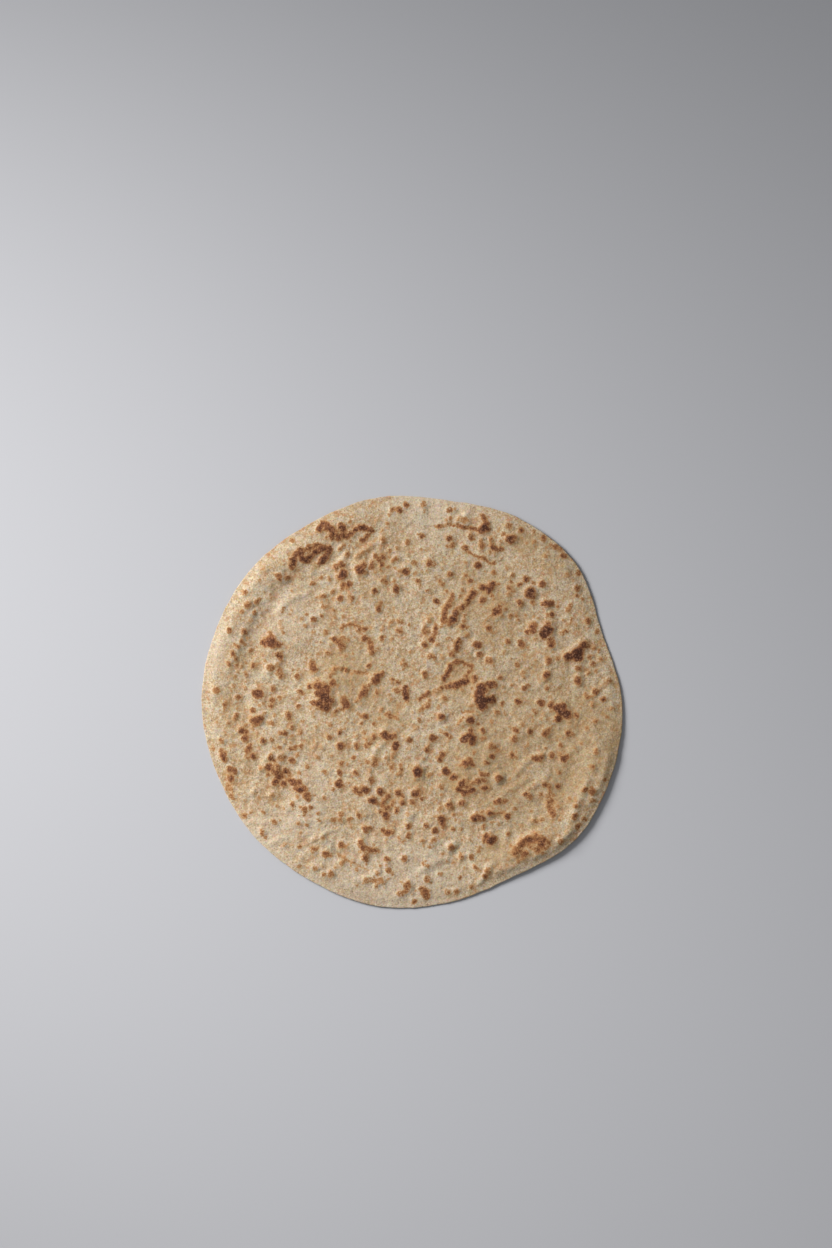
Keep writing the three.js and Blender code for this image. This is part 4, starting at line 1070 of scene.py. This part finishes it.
def make_crust():
    """The material of the whole bread."""
    crust = bpy.data.materials.new("baked_dough")
    crust.use_nodes = True
    tree = crust.node_tree
    shader = tree.nodes["Principled BSDF"]
    shader.inputs["Specular IOR Level"].default_value = 0.3
    place = add(tree, "ShaderNodeTexCoord", "Object")
    elsewhere = vector_maths(tree, "ADD", place, ELSEWHERE)
    further = vector_maths(tree, "ADD", place, FURTHER)
    heat, blush, tone_and_painted_light = (
        add(tree, "ShaderNodeAttribute", "Fac", attribute_name=name)
        for name in ("mark_heat", "mark_blush", "tone_and_painted_light")
    )

    mottle = grain(tree, place, *MOTTLE)
    crumb = grain(tree, place, *CRUMB)
    grit = grain(tree, elsewhere, *GRIT)
    warmth = grain(tree, further, *WARMTH_GRAIN)
    flour = weighed(tree, (mottle, 0.7), (grain(tree, place, *PATCHES), 0.2), (crumb, 1.0), (grit, 0.9))
    dough = blend_colours(tree, fade(tree, flour, *FLOURED), TAN_CRUMB, PALE_FLOUR)
    grey = fade(tree, grain(tree, elsewhere, *GREY_GRAIN), *GREYED)
    for share, colour in (
        (grey, GREY_BRAN),
        (fade(tree, warmth, *WARMED), WARM_TAN),
        (fade(tree, warmth, *COOLED), COOL_CRUMB),
        (fade(tree, blush, *BLUSHED), WARM_TAN),
        # The dough's tone from the tone table, which also carries painted highlight at the left rim and
        # painted shade at the right rim.
        (fade(tree, tone_and_painted_light, *BROWNED_OR_SHADED), BROWNED_OR_SHADED_DOUGH),
        (fade(tree, tone_and_painted_light, *FLOURY_OR_HIGHLIT), FLOURY_OR_HIGHLIT_DOUGH),
    ):
        dough = blend_colours(tree, share, dough, colour)
    tint = grain(tree, elsewhere, *TINT_GRAIN, "Color")
    tint = vector_maths(tree, "MULTIPLY_ADD", tint, TINT_SPREAD, TINT_LEAST)
    dough = vector_maths(tree, "MULTIPLY", dough, tint)
    cells = add(tree, "ShaderNodeTexVoronoi", None, {"Vector": place, "Scale": 1 / BRAN_CELL})
    picked = add(tree, "ShaderNodeSeparateColor", inputs={0: cells.outputs["Color"]})
    fleck = fade(tree, cells.outputs["Distance"], *FLECKED)
    fleck = maths(tree, "MULTIPLY", fleck, maths(tree, "GREATER_THAN", picked, BRAN_PICKED))
    dough = blend_colours(tree, maths(tree, "MULTIPLY", fleck, FLECK_STRENGTH), dough, BRAN_FLECK)

    scorched = fade(tree, grain(tree, further, *SCORCH_GRAIN), *SCORCHED)
    soot = fade(tree, grain(tree, place, *SOOT_GRAIN), *SOOTED)
    dough = blend_colours(tree, maths(tree, "MULTIPLY", scorched, soot), dough, SCORCHED_CRUMB)

    # Where the dough got hot it is speckled: crumb stands out of the brown, paler or darker.
    speckle = maths(tree, "SUBTRACT", grain(tree, further, *SPECKLE_GRAIN), 0.5)
    clots = maths(tree, "SUBTRACT", grain(tree, place, *CLOT_GRAIN), 0.5)
    uneven = weighed(tree, (clots, 1.6), (speckle, 4.2))
    bite = maths(tree, "MINIMUM", maths(tree, "MULTIPLY", heat, BITE_PER_HEAT), DEEPEST_BITE)
    toast = maths(tree, "MULTIPLY_ADD", uneven, bite, heat)
    ramp = add(tree, "ShaderNodeValToRGB", None, {"Fac": toast})
    stops = ramp.color_ramp.elements
    while len(stops) < len(TOASTING):
        stops.new(0.5)
    for stop, (at, colour) in zip(stops, TOASTING):
        stop.position = at
        stop.color = colour
    colour = blend_colours(tree, fade(tree, toast, *TOASTED), dough, ramp.outputs["Color"])
    unburnt = fade(tree, grain(tree, elsewhere, *UNBURNT_GRAIN), *UNBURNT)
    unburnt = maths(tree, "MULTIPLY", unburnt, fade(tree, heat, *UNBURNT_IN_MARKS))
    colour = blend_colours(tree, unburnt, colour, TOASTED_CRUMB)
    colour = scaled(tree, colour, fade(tree, grit, *SHADED))
    tree.links.new(colour, shader.inputs["Base Color"])
    tree.links.new(fade(tree, crumb, *ROUGHENED), shader.inputs["Roughness"])

    bitten = maths(tree, "MULTIPLY", bite, speckle)
    height = weighed(tree, (grit, 0.8), (crumb, 0.25), (fleck, -0.15), (bitten, -0.8))
    inputs = {"Height": height, "Strength": 1.0, "Distance": BUMP_DEPTH}
    tree.links.new(add(tree, "ShaderNodeBump", "Normal", inputs), shader.inputs["Normal"])
    return crust


bread = bpy.data.objects.new("round_flatbread", roll_out_dough())
bpy.context.scene.collection.objects.link(bread)
hand_marks = gather_marks()
folds = gather_folds()
baking = bread.modifiers.new("Baking", "NODES")
baking.node_group = make_baking_tree()
baking_inputs = BAKING | {"Hand Marks": hand_marks, "Folds": folds, "Dough": make_crust()}
for item in baking.node_group.interface.items_tree:
    if item.in_out == "INPUT" and item.name in baking_inputs:
        baking[item.identifier] = baking_inputs[item.name]
bpy.context.view_layer.update()
depsgraph = bpy.context.evaluated_depsgraph_get()
baked_mesh = bpy.data.meshes.new_from_object(
    bread.evaluated_get(depsgraph), preserve_all_data_layers=True, depsgraph=depsgraph)
bread.modifiers.remove(baking)
bread.data = baked_mesh
baked_mesh.shade_smooth()
for loose in (hand_marks, folds):
    bpy.data.objects.remove(loose)
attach(bread, "root")
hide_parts("flatbread")
